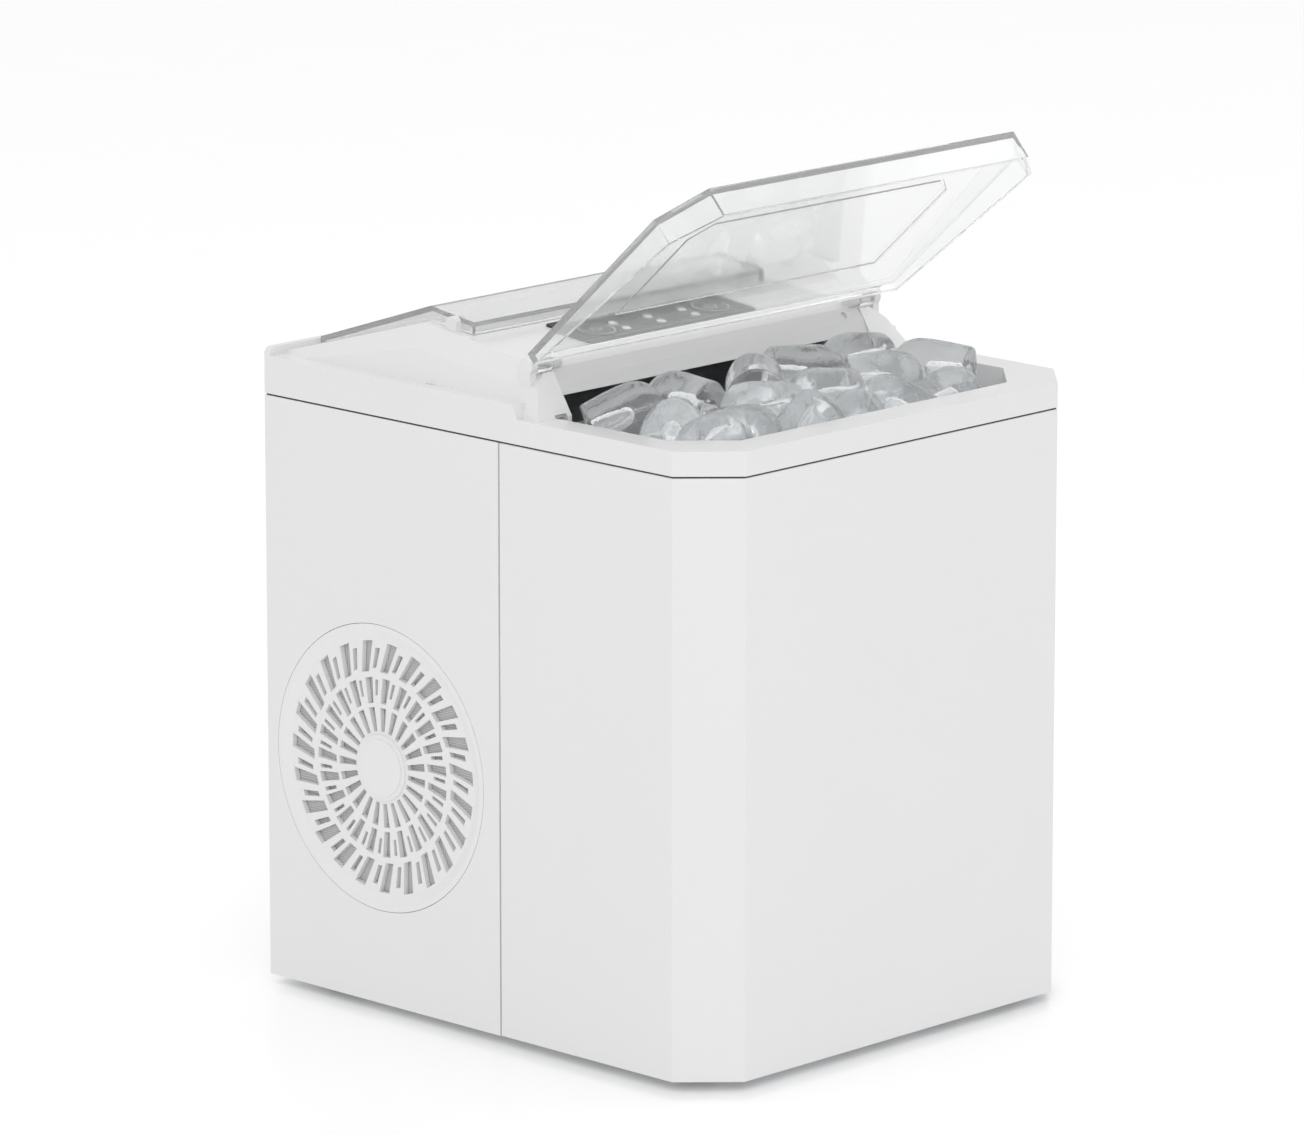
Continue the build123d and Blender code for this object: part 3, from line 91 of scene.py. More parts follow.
class CasePaint(bpy.types.PropertyGroup):
    """Colours of the outer plastics."""

    shell: bpy.props.FloatVectorProperty(
        name="Case", description="Moulded case and its lower shells", subtype="COLOR",
        size=4, min=0, max=1, default=(0.79, 0.79, 0.79, 1))
    cover: bpy.props.FloatVectorProperty(
        name="Top cover", description="Glossier cover round the ice mouth", subtype="COLOR",
        size=4, min=0, max=1, default=(0.78, 0.78, 0.78, 1))
    grille: bpy.props.FloatVectorProperty(
        name="Grille", description="Slotted fan grille", subtype="COLOR",
        size=4, min=0, max=1, default=(0.80, 0.80, 0.80, 1))
    screen: bpy.props.FloatVectorProperty(
        name="Screen", description="Mesh behind the grille", subtype="COLOR",
        size=4, min=0, max=1, default=(0.60, 0.60, 0.61, 1))
    bar: bpy.props.FloatVectorProperty(
        name="Hinge bar", description="Grey bar over the ice mouth", subtype="COLOR",
        size=4, min=0, max=1, default=(0.66, 0.66, 0.66, 1))
    panel: bpy.props.FloatVectorProperty(
        name="Control panel", description="Dark film of the control panel", subtype="COLOR",
        size=4, min=0, max=1, default=(0.04, 0.04, 0.042, 1))
    button: bpy.props.FloatVectorProperty(
        name="Buttons", description="Dark caps of the two buttons", subtype="COLOR",
        size=4, min=0, max=1, default=(0.046, 0.046, 0.048, 1))
    print_white: bpy.props.FloatVectorProperty(
        name="Print", description="White rings printed on the buttons", subtype="COLOR",
        size=4, min=0, max=1, default=(0.85, 0.85, 0.85, 1))


class ClearParts(bpy.types.PropertyGroup):
    """Colour and gloss of the clear lid, cover and ice."""

    tint: bpy.props.FloatVectorProperty(
        name="Lid tint", description="Colour of the clear plastic", subtype="COLOR",
        size=4, min=0, max=1, default=(0.96, 0.965, 0.965, 1))
    roughness: bpy.props.FloatProperty(
        name="Lid roughness", description="Gloss of the clear plastic", subtype="FACTOR",
        min=0, max=1, default=0.04)
    ice: bpy.props.FloatVectorProperty(
        name="Ice", description="Colour of the ice", subtype="COLOR",
        size=4, min=0, max=1, default=(0.97, 0.98, 0.985, 1))


class IceSizes(bpy.types.PropertyGroup):
    """Size of one piece of ice and how full the basket is."""

    radius: bpy.props.FloatProperty(
        name="Radius", description="Outside radius of a piece of ice", unit="LENGTH",
        min=0.008, max=0.018, default=0.0132)
    length: bpy.props.FloatProperty(
        name="Length", description="Length of a piece of ice", unit="LENGTH",
        min=0.02, max=0.045, default=0.033)
    hole: bpy.props.FloatProperty(
        name="Hole radius", description="Radius of the hole the finger leaves", unit="LENGTH",
        min=0.002, max=0.009, default=0.0048)
    hole_depth: bpy.props.FloatProperty(
        name="Hole depth", description="Depth of the hole the finger leaves", unit="LENGTH",
        min=0.005, max=0.03, default=0.019)
    layers: bpy.props.IntProperty(
        name="Layers", description="Layers of ice under the top of the heap",
        min=1, max=4, default=4)
    seed: bpy.props.IntProperty(
        name="Seed", description="Number that sets how the ice has fallen", default=11)


class StudioSizes(bpy.types.PropertyGroup):
    """Floor and light."""

    floor: bpy.props.FloatProperty(
        name="Floor", description="Half width of the floor", unit="LENGTH",
        min=1, max=20, default=6.0)
    sky: bpy.props.FloatProperty(
        name="Sky", description="Strength of the light from all round", min=0, max=5,
        default=0.95)
    key: bpy.props.FloatProperty(
        name="Key light", description="Strength of the large soft light", unit="POWER",
        min=0, max=200, default=12.0)


# ---- shader node helpers ----

def add(tree, kind, **settings):
    """A new node in the tree with its settings."""
    node = tree.nodes.new(kind)
    for name, value in settings.items():
        setattr(node, name, value)
    return node


def set_input(node, name, value):
    """Sets one input, or links it when the value is another socket."""
    if isinstance(value, bpy.types.NodeSocket):
        node.id_data.links.new(value, node.inputs[name])
    else:
        node.inputs[name].default_value = value
    return node


def math_node(tree, operation, first, second):
    """A Math node on two values or sockets."""
    node = add(tree, "ShaderNodeMath", operation=operation)
    set_input(node, 0, first)
    set_input(node, 1, second)
    return node.outputs[0]


def spread(tree, value, low, high):
    """Stretches a 0 to 1 value over low to high."""
    node = add(tree, "ShaderNodeMapRange")
    set_input(node, "Value", value)
    set_input(node, "To Min", low)
    set_input(node, "To Max", high)
    return node.outputs["Result"]


def stretch(tree, value, low, high=1.0):
    """Stretches low to high over 0 to 1, and stays within that."""
    node = add(tree, "ShaderNodeMapRange")
    set_input(node, "Value", value)
    set_input(node, "From Min", low)
    set_input(node, "From Max", high)
    return node.outputs["Result"]


def blend_colour(tree, share, first, second):
    """Mixes two colours."""
    node = add(tree, "ShaderNodeMix", data_type="RGBA")
    set_input(node, "Factor", share)
    set_input(node, 6, first)
    set_input(node, 7, second)
    return node.outputs[2]


def place(tree):
    """The place on the object."""
    return add(tree, "ShaderNodeTexCoord").outputs["Object"]


def noise(tree, scale, detail=2.0, at=None, rough=0.5):
    """A noise pattern in the object's own space, scale in cells per metre."""
    node = add(tree, "ShaderNodeTexNoise")
    set_input(node, "Vector", at or place(tree))
    set_input(node, "Scale", scale)
    set_input(node, "Detail", detail)
    set_input(node, "Roughness", rough)
    return node.outputs["Fac"]


def bump(tree, height, depth):
    """Turns a height into a normal, depth in metres."""
    node = add(tree, "ShaderNodeBump")
    set_input(node, "Height", height)
    set_input(node, "Distance", depth)
    return node.outputs["Normal"]


def shrink(tree, factors):
    """The place on the object, stretched by a factor along each axis."""
    node = add(tree, "ShaderNodeMapping")
    set_input(node, "Vector", place(tree))
    set_input(node, "Scale", factors)
    return node.outputs["Vector"]


SOCKETS = {"c": "NodeSocketColor", "f": "NodeSocketFloat", "v": "NodeSocketVector"}


def start_group(name, ins, outs):
    """An empty node group, what it is given and the node that puts its results out."""
    tree = bpy.data.node_groups.new(name, "ShaderNodeTree")
    for label, kind, value in ins:
        socket = tree.interface.new_socket(label, in_out="INPUT", socket_type=SOCKETS[kind])
        socket.default_value = value
    for label, kind in outs:
        tree.interface.new_socket(label, in_out="OUTPUT", socket_type=SOCKETS[kind])
    return tree, add(tree, "NodeGroupInput").outputs, add(tree, "NodeGroupOutput")


# ---- effects shared by several materials ----

def moulded_skin():
    """Moulded plastic or rubber: fine grain, uneven gloss and a slight drift of colour."""
    tree, given, out = start_group(
        "Moulded skin",
        [("Colour", "c", (0.8, 0.8, 0.8, 1)), ("Drift", "f", 0.03), ("Roughness", "f", 0.3),
         ("Gloss spread", "f", 0.05), ("Grain", "f", 900.0), ("Depth", "f", 0.00001)],
        [("Colour", "c"), ("Roughness", "f"), ("Normal", "v")])
    cloud = noise(tree, 14.0, 3.0)
    value = spread(tree, cloud, math_node(tree, "SUBTRACT", 1.0, given["Drift"]),
                   math_node(tree, "ADD", 1.0, given["Drift"]))
    shade = add(tree, "ShaderNodeHueSaturation")
    set_input(shade, "Color", given["Colour"])
    set_input(shade, "Value", value)
    low = math_node(tree, "SUBTRACT", given["Roughness"], given["Gloss spread"])
    high = math_node(tree, "ADD", given["Roughness"], given["Gloss spread"])
    grain = noise(tree, given["Grain"], 2.0)
    set_input(out, "Colour", shade.outputs["Color"])
    set_input(out, "Roughness", spread(tree, noise(tree, 55.0, 4.0), low, high))
    set_input(out, "Normal", bump(tree, grain, given["Depth"]))
    return tree


def settled_dust():
    """A thin veil of dust on faces that look up."""
    tree, given, out = start_group(
        "Settled dust",
        [("Colour", "c", (0.8, 0.8, 0.8, 1)), ("Dust", "c", (0.55, 0.54, 0.52, 1)),
         ("Amount", "f", 0.05)],
        [("Colour", "c")])
    split = add(tree, "ShaderNodeSeparateXYZ")
    set_input(split, 0, add(tree, "ShaderNodeNewGeometry").outputs["Normal"])
    up = stretch(tree, split.outputs["Z"], 0.3)
    specks = stretch(tree, noise(tree, 260.0, 6.0, rough=0.7), 0.42, 0.75)
    lie = math_node(tree, "MULTIPLY", up, specks)
    mask = math_node(tree, "MULTIPLY", lie, given["Amount"])
    set_input(out, "Colour", blend_colour(tree, mask, given["Colour"], given["Dust"]))
    return tree


def drawn_metal():
    """Drawn or rolled metal: streaks along one axis and dull patches."""
    tree, given, out = start_group(
        "Drawn metal",
        [("Colour", "c", (0.6, 0.6, 0.6, 1)), ("Stain", "c", (0.3, 0.3, 0.3, 1)),
         ("Stained", "f", 0.2), ("Roughness", "f", 0.3), ("Gloss spread", "f", 0.08),
         ("Depth", "f", 0.00001)],
        [("Colour", "c"), ("Roughness", "f"), ("Normal", "v")])
    streak = noise(tree, 1.0, 3.0, at=shrink(tree, (60, 60, 2200)))
    patch = stretch(tree, noise(tree, 42.0, 5.0, rough=0.62), 0.45, 0.7)
    stain = math_node(tree, "MULTIPLY", patch, given["Stained"])
    low = math_node(tree, "SUBTRACT", given["Roughness"], given["Gloss spread"])
    high = math_node(tree, "ADD", given["Roughness"], given["Gloss spread"])
    set_input(out, "Colour", blend_colour(tree, stain, given["Colour"], given["Stain"]))
    set_input(out, "Roughness", spread(tree, streak, low, high))
    set_input(out, "Normal", bump(tree, streak, given["Depth"]))
    return tree


def crossed_lines():
    """Two sets of fine crossing lines, as in a woven screen or on a circuit board."""
    tree, given, out = start_group(
        "Crossed lines",
        [("Pitch", "f", 0.0012), ("Share", "f", 0.35)],
        [("Lines", "f")])
    split = add(tree, "ShaderNodeSeparateXYZ")
    set_input(split, 0, place(tree))
    found = None
    for axis in ("Y", "Z"):
        step = math_node(tree, "DIVIDE", split.outputs[axis], given["Pitch"])
        part = math_node(tree, "FRACT", step, 0.0)
        line = math_node(tree, "LESS_THAN", part, given["Share"])
        found = line if found is None else math_node(tree, "MAXIMUM", found, line)
    set_input(out, "Lines", found)
    return tree


def cell_pattern():
    """Round cells, as in foam, or the spangle of zinc."""
    tree, given, out = start_group(
        "Cell pattern",
        [("Scale", "f", 300.0)],
        [("Cell shade", "f"), ("Height", "f")])
    cells = add(tree, "ShaderNodeTexVoronoi")
    set_input(cells, "Vector", place(tree))
    set_input(cells, "Scale", given["Scale"])
    grey = add(tree, "ShaderNodeRGBToBW")
    set_input(grey, 0, cells.outputs["Color"])
    set_input(out, "Cell shade", grey.outputs[0])
    set_input(out, "Height", cells.outputs["Distance"])
    return tree


def melt_marks():
    """Soft waves and tiny bubbles of clear ice or of moulded clear plastic."""
    tree, given, out = start_group(
        "Melt marks",
        [("Scale", "f", 120.0), ("Depth", "f", 0.0002), ("Clear roughness", "f", 0.02),
         ("Cloudy roughness", "f", 0.3), ("Cloud share", "f", 0.4)],
        [("Roughness", "f"), ("Normal", "v"), ("Cloud", "f")])
    wave = noise(tree, given["Scale"], 3.0)
    cloud = stretch(tree, noise(tree, 70.0, 5.0, rough=0.6),
                    math_node(tree, "SUBTRACT", 1.0, given["Cloud share"]))
    set_input(out, "Roughness", spread(tree, cloud, given["Clear roughness"],
                                       given["Cloudy roughness"]))
    fine = math_node(tree, "MULTIPLY", given["Scale"], 9.0)
    frost = math_node(tree, "MULTIPLY", noise(tree, fine, 2.0), 0.06)
    set_input(out, "Normal", bump(tree, math_node(tree, "ADD", wave, frost), given["Depth"]))
    set_input(out, "Cloud", cloud)
    return tree


def use_group(tree, maker, **values):
    """Places a shared effect in a material, with its own values.

    The group has its maker's name in plain words, and is made the first time.
    """
    name = maker.__name__.replace("_", " ").capitalize()
    group = bpy.data.node_groups.get(name) or maker()
    node = add(tree, "ShaderNodeGroup", node_tree=group)
    for label, value in values.items():
        set_input(node, label.replace("_", " "), value)
    return node


# ---- materials ----

def start_material(name):
    """A new material with one Principled shader, and that shader."""
    material = bpy.data.materials.new(name)
    material.use_nodes = True
    tree = material.node_tree
    shader = next(n for n in tree.nodes if n.type == "BSDF_PRINCIPLED")
    return material, tree, shader


def take_surface(shader, skin, *names):
    """Links the named results of a shared effect, or all three, to the shader."""
    for name in names or ("Colour", "Roughness", "Normal"):
        target = "Base Color" if name == "Colour" else name
        set_input(shader, target, skin.outputs[name])


def plastic(name, colour, roughness=0.3, drift=0.02, gloss_spread=0.05, grain=900.0,
            depth=0.000006, dust=0.04, coat=0.0, shine=0.5):
    """Moulded plastic, rubber or paint."""
    material, tree, shader = start_material(name)
    skin = use_group(tree, moulded_skin, Colour=colour, Drift=drift, Roughness=roughness,
                     Gloss_spread=gloss_spread, Grain=grain, Depth=depth)
    veil = use_group(tree, settled_dust, Colour=skin.outputs["Colour"], Amount=dust)
    take_surface(shader, veil, "Colour")
    take_surface(shader, skin, "Roughness", "Normal")
    shader.inputs["Specular IOR Level"].default_value = shine
    shader.inputs["Coat Weight"].default_value = coat
    shader.inputs["Coat Roughness"].default_value = 0.12
    return material


def metal(name, colour, stain, stained, roughness):
    """Bare drawn metal."""
    material, tree, shader = start_material(name)
    skin = use_group(tree, drawn_metal, Colour=colour, Stain=stain, Stained=stained,
                     Roughness=roughness, Gloss_spread=0.08, Depth=0.00001)
    take_surface(shader, skin)
    shader.inputs["Metallic"].default_value = 1.0
    return material


def let_lamps_through(material, tree, shader, colour):
    """Lamps shine through clear plastic and ice, so that what is inside stays lit."""
    output = next(n for n in tree.nodes if n.type == "OUTPUT_MATERIAL")
    clear = add(tree, "ShaderNodeBsdfTransparent")
    clear.inputs["Color"].default_value = colour
    chooser = add(tree, "ShaderNodeMixShader")
    ray = add(tree, "ShaderNodeLightPath")
    set_input(chooser, "Fac", ray.outputs["Is Shadow Ray"])
    tree.links.new(shader.outputs["BSDF"], chooser.inputs[1])
    tree.links.new(clear.outputs["BSDF"], chooser.inputs[2])
    tree.links.new(chooser.outputs["Shader"], output.inputs["Surface"])
    return material


def clear_plastic(name, tint, roughness):
    """Clear moulded lid plastic, with faint flow marks."""
    material, tree, shader = start_material(name)
    marks = use_group(tree, melt_marks, Scale=45.0, Depth=0.00002, Clear_roughness=roughness,
                      Cloudy_roughness=roughness + 0.08, Cloud_share=0.5)
    shader.inputs["Base Color"].default_value = tint
    shader.inputs["Transmission Weight"].default_value = 0.88
    shader.inputs["IOR"].default_value = 1.4
    take_surface(shader, marks, "Roughness", "Normal")
    return let_lamps_through(material, tree, shader, (0.95, 0.95, 0.95, 1))


def clear_ice(name, tint):
    """Wet clear ice with cloudy patches, and painted shade that darkens its rims where the
    surface turns away from the view.
    """
    material, tree, shader = start_material(name)
    marks = use_group(tree, melt_marks, Scale=110.0, Depth=0.0007, Clear_roughness=0.0,
                      Cloudy_roughness=0.14, Cloud_share=0.42)
    cloudy = blend_colour(tree, marks.outputs["Cloud"], tint, (0.92, 0.935, 0.94, 1))
    # Painted shade: the base colour turns grey towards the edge-on rims, so that each piece shows
    # a dark outline.
    rim = add(tree, "ShaderNodeLayerWeight")
    rim.inputs["Blend"].default_value = 0.25
    shade = blend_colour(tree, rim.outputs["Facing"], cloudy, (0.66, 0.68, 0.69, 1))
    set_input(shader, "Base Color", shade)
    shader.inputs["Transmission Weight"].default_value = 0.9
    shader.inputs["IOR"].default_value = 1.31
    take_surface(shader, marks, "Roughness", "Normal")
    return let_lamps_through(material, tree, shader, (0.97, 0.975, 0.98, 1))


def soft_clear(name, tint, through, roughness=0.3):
    """Milky clear silicone or frosted basket plastic."""
    material, tree, shader = start_material(name)
    skin = use_group(tree, moulded_skin, Colour=tint, Drift=0.03, Roughness=roughness,
                     Gloss_spread=0.08, Grain=700.0, Depth=0.00001)
    take_surface(shader, skin)
    shader.inputs["Transmission Weight"].default_value = through
    shader.inputs["IOR"].default_value = 1.42
    return material


def screen_cloth(name, colour):
    """Woven dust screen behind the grille."""
    material, tree, shader = start_material(name)
    weave = use_group(tree, crossed_lines, Pitch=0.0011, Share=0.42)
    gap = tuple(c * 0.62 for c in colour[:3]) + (1,)
    shade = blend_colour(tree, weave.outputs["Lines"], gap, colour)
    veil = use_group(tree, settled_dust, Colour=shade, Amount=0.1)
    take_surface(shader, veil, "Colour")
    set_input(shader, "Roughness", spread(tree, noise(tree, 300.0), 0.6, 0.85))
    set_input(shader, "Normal", bump(tree, weave.outputs["Lines"], 0.0002))
    return material


def circuit_board(name):
    """Green board with copper tracks under its lacquer."""
    material, tree, shader = start_material(name)
    tracks = use_group(tree, crossed_lines, Pitch=0.0031, Share=0.22)
    broken = math_node(tree, "GREATER_THAN", noise(tree, 180.0, 1.0), 0.5)
    mask = math_node(tree, "MULTIPLY", tracks.outputs["Lines"], broken)
    shade = blend_colour(tree, mask, (0.008, 0.11, 0.035, 1), (0.05, 0.26, 0.08, 1))
    set_input(shader, "Base Color", shade)
    set_input(shader, "Roughness", spread(tree, noise(tree, 90.0), 0.28, 0.42))
    set_input(shader, "Normal", bump(tree, mask, 0.00005))
    return material


def foam_block(name):
    """Cut insulating foam with open cells."""
    material, tree, shader = start_material(name)
    cells = use_group(tree, cell_pattern, Scale=420.0)
    shade = blend_colour(tree, cells.outputs["Cell shade"], (0.62, 0.62, 0.60, 1),
                         (0.80, 0.80, 0.78, 1))
    set_input(shader, "Base Color", shade)
    set_input(shader, "Roughness", spread(tree, cells.outputs["Cell shade"], 0.7, 0.95))
    set_input(shader, "Normal", bump(tree, cells.outputs["Height"], 0.0006))
    return material


def zinc_sheet(name):
    """Galvanised sheet with its spangle."""
    material, tree, shader = start_material(name)
    cells = use_group(tree, cell_pattern, Scale=95.0)
    shade = blend_colour(tree, cells.outputs["Cell shade"], (0.46, 0.48, 0.50, 1),
                         (0.70, 0.72, 0.74, 1))
    dusty = use_group(tree, settled_dust, Colour=shade, Amount=0.25)
    take_surface(shader, dusty, "Colour")
    shader.inputs["Metallic"].default_value = 0.9
    set_input(shader, "Roughness", spread(tree, cells.outputs["Cell shade"], 0.3, 0.5))
    set_input(shader, "Normal", bump(tree, cells.outputs["Height"], 0.00002))
    return material


def finned_aluminium(name):
    """Stack of thin fins, as dark and light lines over the condenser."""
    material, tree, shader = start_material(name)
    lines = use_group(tree, crossed_lines, Pitch=0.0018, Share=0.3)
    shade = blend_colour(tree, lines.outputs["Lines"], (0.72, 0.73, 0.74, 1),
                         (0.34, 0.35, 0.36, 1))
    dusty = use_group(tree, settled_dust, Colour=shade, Amount=0.3)
    take_surface(shader, dusty, "Colour")
    shader.inputs["Metallic"].default_value = 0.85
    set_input(shader, "Roughness", spread(tree, noise(tree, 120.0), 0.28, 0.45))
    set_input(shader, "Normal", bump(tree, lines.outputs["Lines"], 0.0001))
    return material


def lamp_lens(name):
    """Milky lens of an indicator light, faintly lit."""
    material, tree, shader = start_material(name)
    skin = use_group(tree, moulded_skin, Colour=(0.92, 0.93, 0.94, 1), Drift=0.02,
                     Roughness=0.22, Gloss_spread=0.05, Grain=1500.0, Depth=0.00001)
    take_surface(shader, skin)
    set_input(shader, "Emission Color", skin.outputs["Colour"])
    shader.inputs["Emission Strength"].default_value = 0.25
    return material


def paint(*nodes, material):
    """Gives CAD nodes their finish."""
    for name in nodes:
        for holder in frame["nodes"][name].material_slots:
            holder.material = material


# ---- modelling helpers ----

def clear_selection():
    """Leaves edit mode and deselects everything."""
    if bpy.context.mode != "OBJECT":
        bpy.ops.object.mode_set(mode="OBJECT")
    bpy.ops.object.select_all(action="DESELECT")


def start_editing(piece, kind="FACE", action="DESELECT"):
    """Enters edit mode on the new piece, with nothing or all of it selected."""
    bpy.context.view_layer.objects.active = piece
    bpy.ops.object.mode_set(mode="EDIT")
    bpy.ops.mesh.select_mode(type=kind)
    bpy.ops.mesh.select_all(action=action)


def pick_faces(piece, test):
    """Selects the faces that pass the test on their centre and normal."""
    mesh = bmesh.from_edit_mesh(piece.data)
    mesh.faces.ensure_lookup_table()
    for face in mesh.faces:
        face.select_set(bool(test(face.calc_center_median(), face.normal)))
    bmesh.update_edit_mesh(piece.data)
    if not any(face.select for face in mesh.faces):
        raise RuntimeError(f"no face of {piece.name} was picked")


def pull(distance):
    """Extrudes the selected faces along Z."""
    bpy.ops.mesh.extrude_region_move(TRANSFORM_OT_translate={"value": (0, 0, distance)})


def squeeze(factor):
    """Scales the selection across Z about its middle."""
    bpy.ops.transform.resize(value=(factor, factor, 1))


def finish_modifiers(piece):
    """Applies every modifier of the piece."""
    clear_selection()
    piece.select_set(True)
    bpy.context.view_layer.objects.active = piece
    for modifier in list(piece.modifiers):
        bpy.ops.object.modifier_apply(modifier=modifier.name)


def set_down(piece, place_matrix, name, body, material):
    """Puts the place into the mesh, names the piece, paints it and lets it ride."""
    piece.data.transform(place_matrix)
    piece.matrix_world = Matrix.Identity(4)
    piece.name = name
    piece.data.name = name
    piece.data.materials.clear()
    piece.data.materials.append(material)
    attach(piece, body)
    return piece


def soften_edges(name, width):
    """Rounds the moulded edges of a CAD node with live modifiers, its mesh left as it is."""
    piece = frame["nodes"][name]
    joined = piece.modifiers.new("joined", "WELD")
    joined.merge_threshold = 0.000005
    flats = piece.modifiers.new("flats", "DECIMATE")
    flats.decimate_type = "DISSOLVE"
    flats.angle_limit = math.radians(1.0)
    round_off = piece.modifiers.new("round off", "BEVEL")
    round_off.width = width
    round_off.segments = 3
    round_off.limit_method = "ANGLE"
    round_off.angle_limit = math.radians(28.0)
    shade = piece.modifiers.new("shade", "WEIGHTED_NORMAL")
    shade.keep_sharp = True


# ---- ice ----

def model_bullet(radius, length, hole, depth, wave):
    """One piece of bullet ice along Z: a domed end up, and a flat end with the finger's hole."""
    clear_selection()
    straight = length - radius
    bpy.ops.mesh.primitive_cylinder_add(vertices=20, radius=radius, depth=straight)
    piece = bpy.context.object
    start_editing(piece)
    pick_faces(piece, lambda at, normal: normal.z > 0.9)
    turned = 0.0
    for turn in (22, 44, 64, 80):
        angle = math.radians(turn)
        pull(radius * (math.sin(angle) - math.sin(turned)))
        squeeze(math.cos(angle) / math.cos(turned))
        turned = angle
    pick_faces(piece, lambda at, normal: normal.z < -0.9 and at.z < -straight * 0.45)
    bpy.ops.mesh.inset(thickness=radius * 0.16, depth=0)
    bpy.ops.mesh.inset(thickness=radius * 0.84 - hole, depth=0)
    for share, narrowing in ((0.1, 0.9), (0.5, 0.85), (0.3, 0.75), (0.1, 0.5)):
        pull(depth * share)
        squeeze(narrowing)
    bpy.ops.object.mode_set(mode="OBJECT")
    rim = piece.modifiers.new("rim", "BEVEL")
    rim.width = radius * 0.14
    rim.segments = 2
    rim.limit_method = "ANGLE"
    rim.angle_limit = math.radians(50)
    smooth = piece.modifiers.new("smooth", "SUBSURF")
    smooth.levels = smooth.render_levels = 1
    marks = bpy.data.textures.new("ice waves", "CLOUDS")
    marks.noise_scale = wave
    melt = piece.modifiers.new("melt", "DISPLACE")
    melt.texture = marks
    melt.texture_coords = "LOCAL"
    melt.strength = radius * 0.06
    melt.mid_level = 0.5
    finish_modifiers(piece)
    bpy.ops.object.shade_smooth()
    return piece


def nearest_on_axes(start_a, way_a, start_b, way_b, half):
    """Nearest points of two axes of the same half length."""
    gap = start_a - start_b
    lean = way_a.dot(way_b)
    along_a, along_b = way_a.dot(gap), way_b.dot(gap)
    flat = 1 - lean * lean
    reach_a = 0.0 if flat < 1e-6 else (lean * along_b - along_a) / flat
    reach_a = max(-half, min(half, reach_a))
    reach_b = max(-half, min(half, lean * reach_a + along_b))
    reach_a = max(-half, min(half, lean * reach_b - along_a))
    return start_a + way_a * reach_a, start_b + way_b * reach_b


def heap_height(at):
    """How high the ice may reach: low at the front rim, higher near the bar."""
    low, high = BASKET
    share = (at.y - low.y) / (high.y - low.y)
    return HEAP_FRONT + HEAP_RISE * max(0.0, min(1.0, share * 1.4))


def clear_shovel(at, radius):
    """Moves a piece out of the arc that the shovel sweeps below its axis."""
    out = Vector((0.0, at.y - SHOVEL_AXIS.y, at.z - SHOVEL_AXIS.z))
    swung = math.atan2(-out.y, -out.z)
    edge = SHOVEL_SWING + math.asin(min(1.0, radius / out.length))
    reach = SHOVEL_REACH + radius
    if swung < edge and out.length < reach:
        at += out.normalized() * (reach - out.length)


def keep_inside(at, way, half, radius):
    """Holds one piece inside the basket, the mouth and the height of the heap."""
    clear_shovel(at, radius + half * max(abs(way.y), abs(way.z)))
    low, high = BASKET
    reach = [half * abs(way[i]) + radius for i in range(3)]
    for i in range(2):
        at[i] = max(low[i] + BASKET_WALL + reach[i], min(high[i] - BASKET_WALL - reach[i], at[i]))
    at.z = max(low.z + BASKET_WALL + reach[2], min(heap_height(at) - reach[2], at.z))


def throw_ice(sizes):
    """Places and directions of the pieces, after they have pushed each other apart."""
    chance = random.Random(sizes.seed)
    half = (sizes.length - sizes.radius) / 2 - sizes.radius * 0.35
    low, high = BASKET
    places, ways = [], []
    levels = [low.z + 0.0175 + i * 0.0235 for i in range(4)]
    for level in levels[4 - sizes.layers:]:
        for column in range(6):
            for row in range(3):
                places.append(Vector((
                    low.x + 0.0215 + column * 0.0325 + chance.uniform(-0.004, 0.004),
                    low.y + 0.0185 + row * 0.0225 + chance.uniform(-0.003, 0.003),
                    level + chance.uniform(-0.003, 0.003))))
                turn = chance.uniform(0, math.tau)
                rise = math.radians(chance.choice((-30, -15, -5, 0, 5, 12, 25, 40)))
                ways.append(Vector((math.cos(turn) * math.cos(rise),
                                    math.sin(turn) * math.cos(rise), math.sin(rise))))
    for step in range(8):
        places.append(Vector((-0.045 + step * 0.0185,
                              high.y - 0.019 - 0.024 * (step % 2), 0.277)))
        turn = chance.uniform(0, math.tau)
        ways.append(Vector((math.cos(turn), math.sin(turn), 0.12)).normalized())
    apart = sizes.radius * 1.98
    for _ in range(PUSH_ROUNDS):
        for i in range(len(places)):
            for j in range(i):
                if (places[i] - places[j]).length > apart + 2 * half:
                    continue
                at_i, at_j = nearest_on_axes(places[i], ways[i], places[j], ways[j], half)
                gap = at_i - at_j
                short = apart - gap.length
                if short > 0 and gap.length > 1e-6:
                    push = gap.normalized() * short * PUSH_SHARE
                    places[i] += push
                    places[j] -= push
        for i, at in enumerate(places):
            keep_inside(at, ways[i], half, sizes.radius)
    return list(zip(places, ways))


# ---- strip of painted shade in the seam under the top cover ----

def model_strip(width, depth, corner, height, wall):
    """A band round the case, open above and below, with its two front corners cut off."""
    clear_selection()
    bpy.ops.mesh.primitive_cube_add(size=1)
    piece = bpy.context.object
    start_editing(piece, action="SELECT")
    bpy.ops.transform.resize(value=(width, depth, height))
    bpy.ops.mesh.select_mode(type="EDGE")
    mesh = bmesh.from_edit_mesh(piece.data)
    for edge in mesh.edges:
        one, two = (v.co for v in edge.verts)
        edge.select_set(abs(one.z - two.z) > height / 2 and one.y < 0)
    bmesh.update_edit_mesh(piece.data)
    bpy.ops.mesh.bevel(offset=corner, segments=1, affect="EDGES")
    bpy.ops.mesh.select_mode(type="FACE")
    pick_faces(piece, lambda at, normal: abs(normal.z) > 0.9)
    bpy.ops.mesh.delete(type="ONLY_FACE")
    bpy.ops.object.mode_set(mode="OBJECT")
    band = piece.modifiers.new("wall", "SOLIDIFY")
    band.thickness = wall
    band.offset = -1.0
    finish_modifiers(piece)
    return piece


# ---- prints on the buttons ----

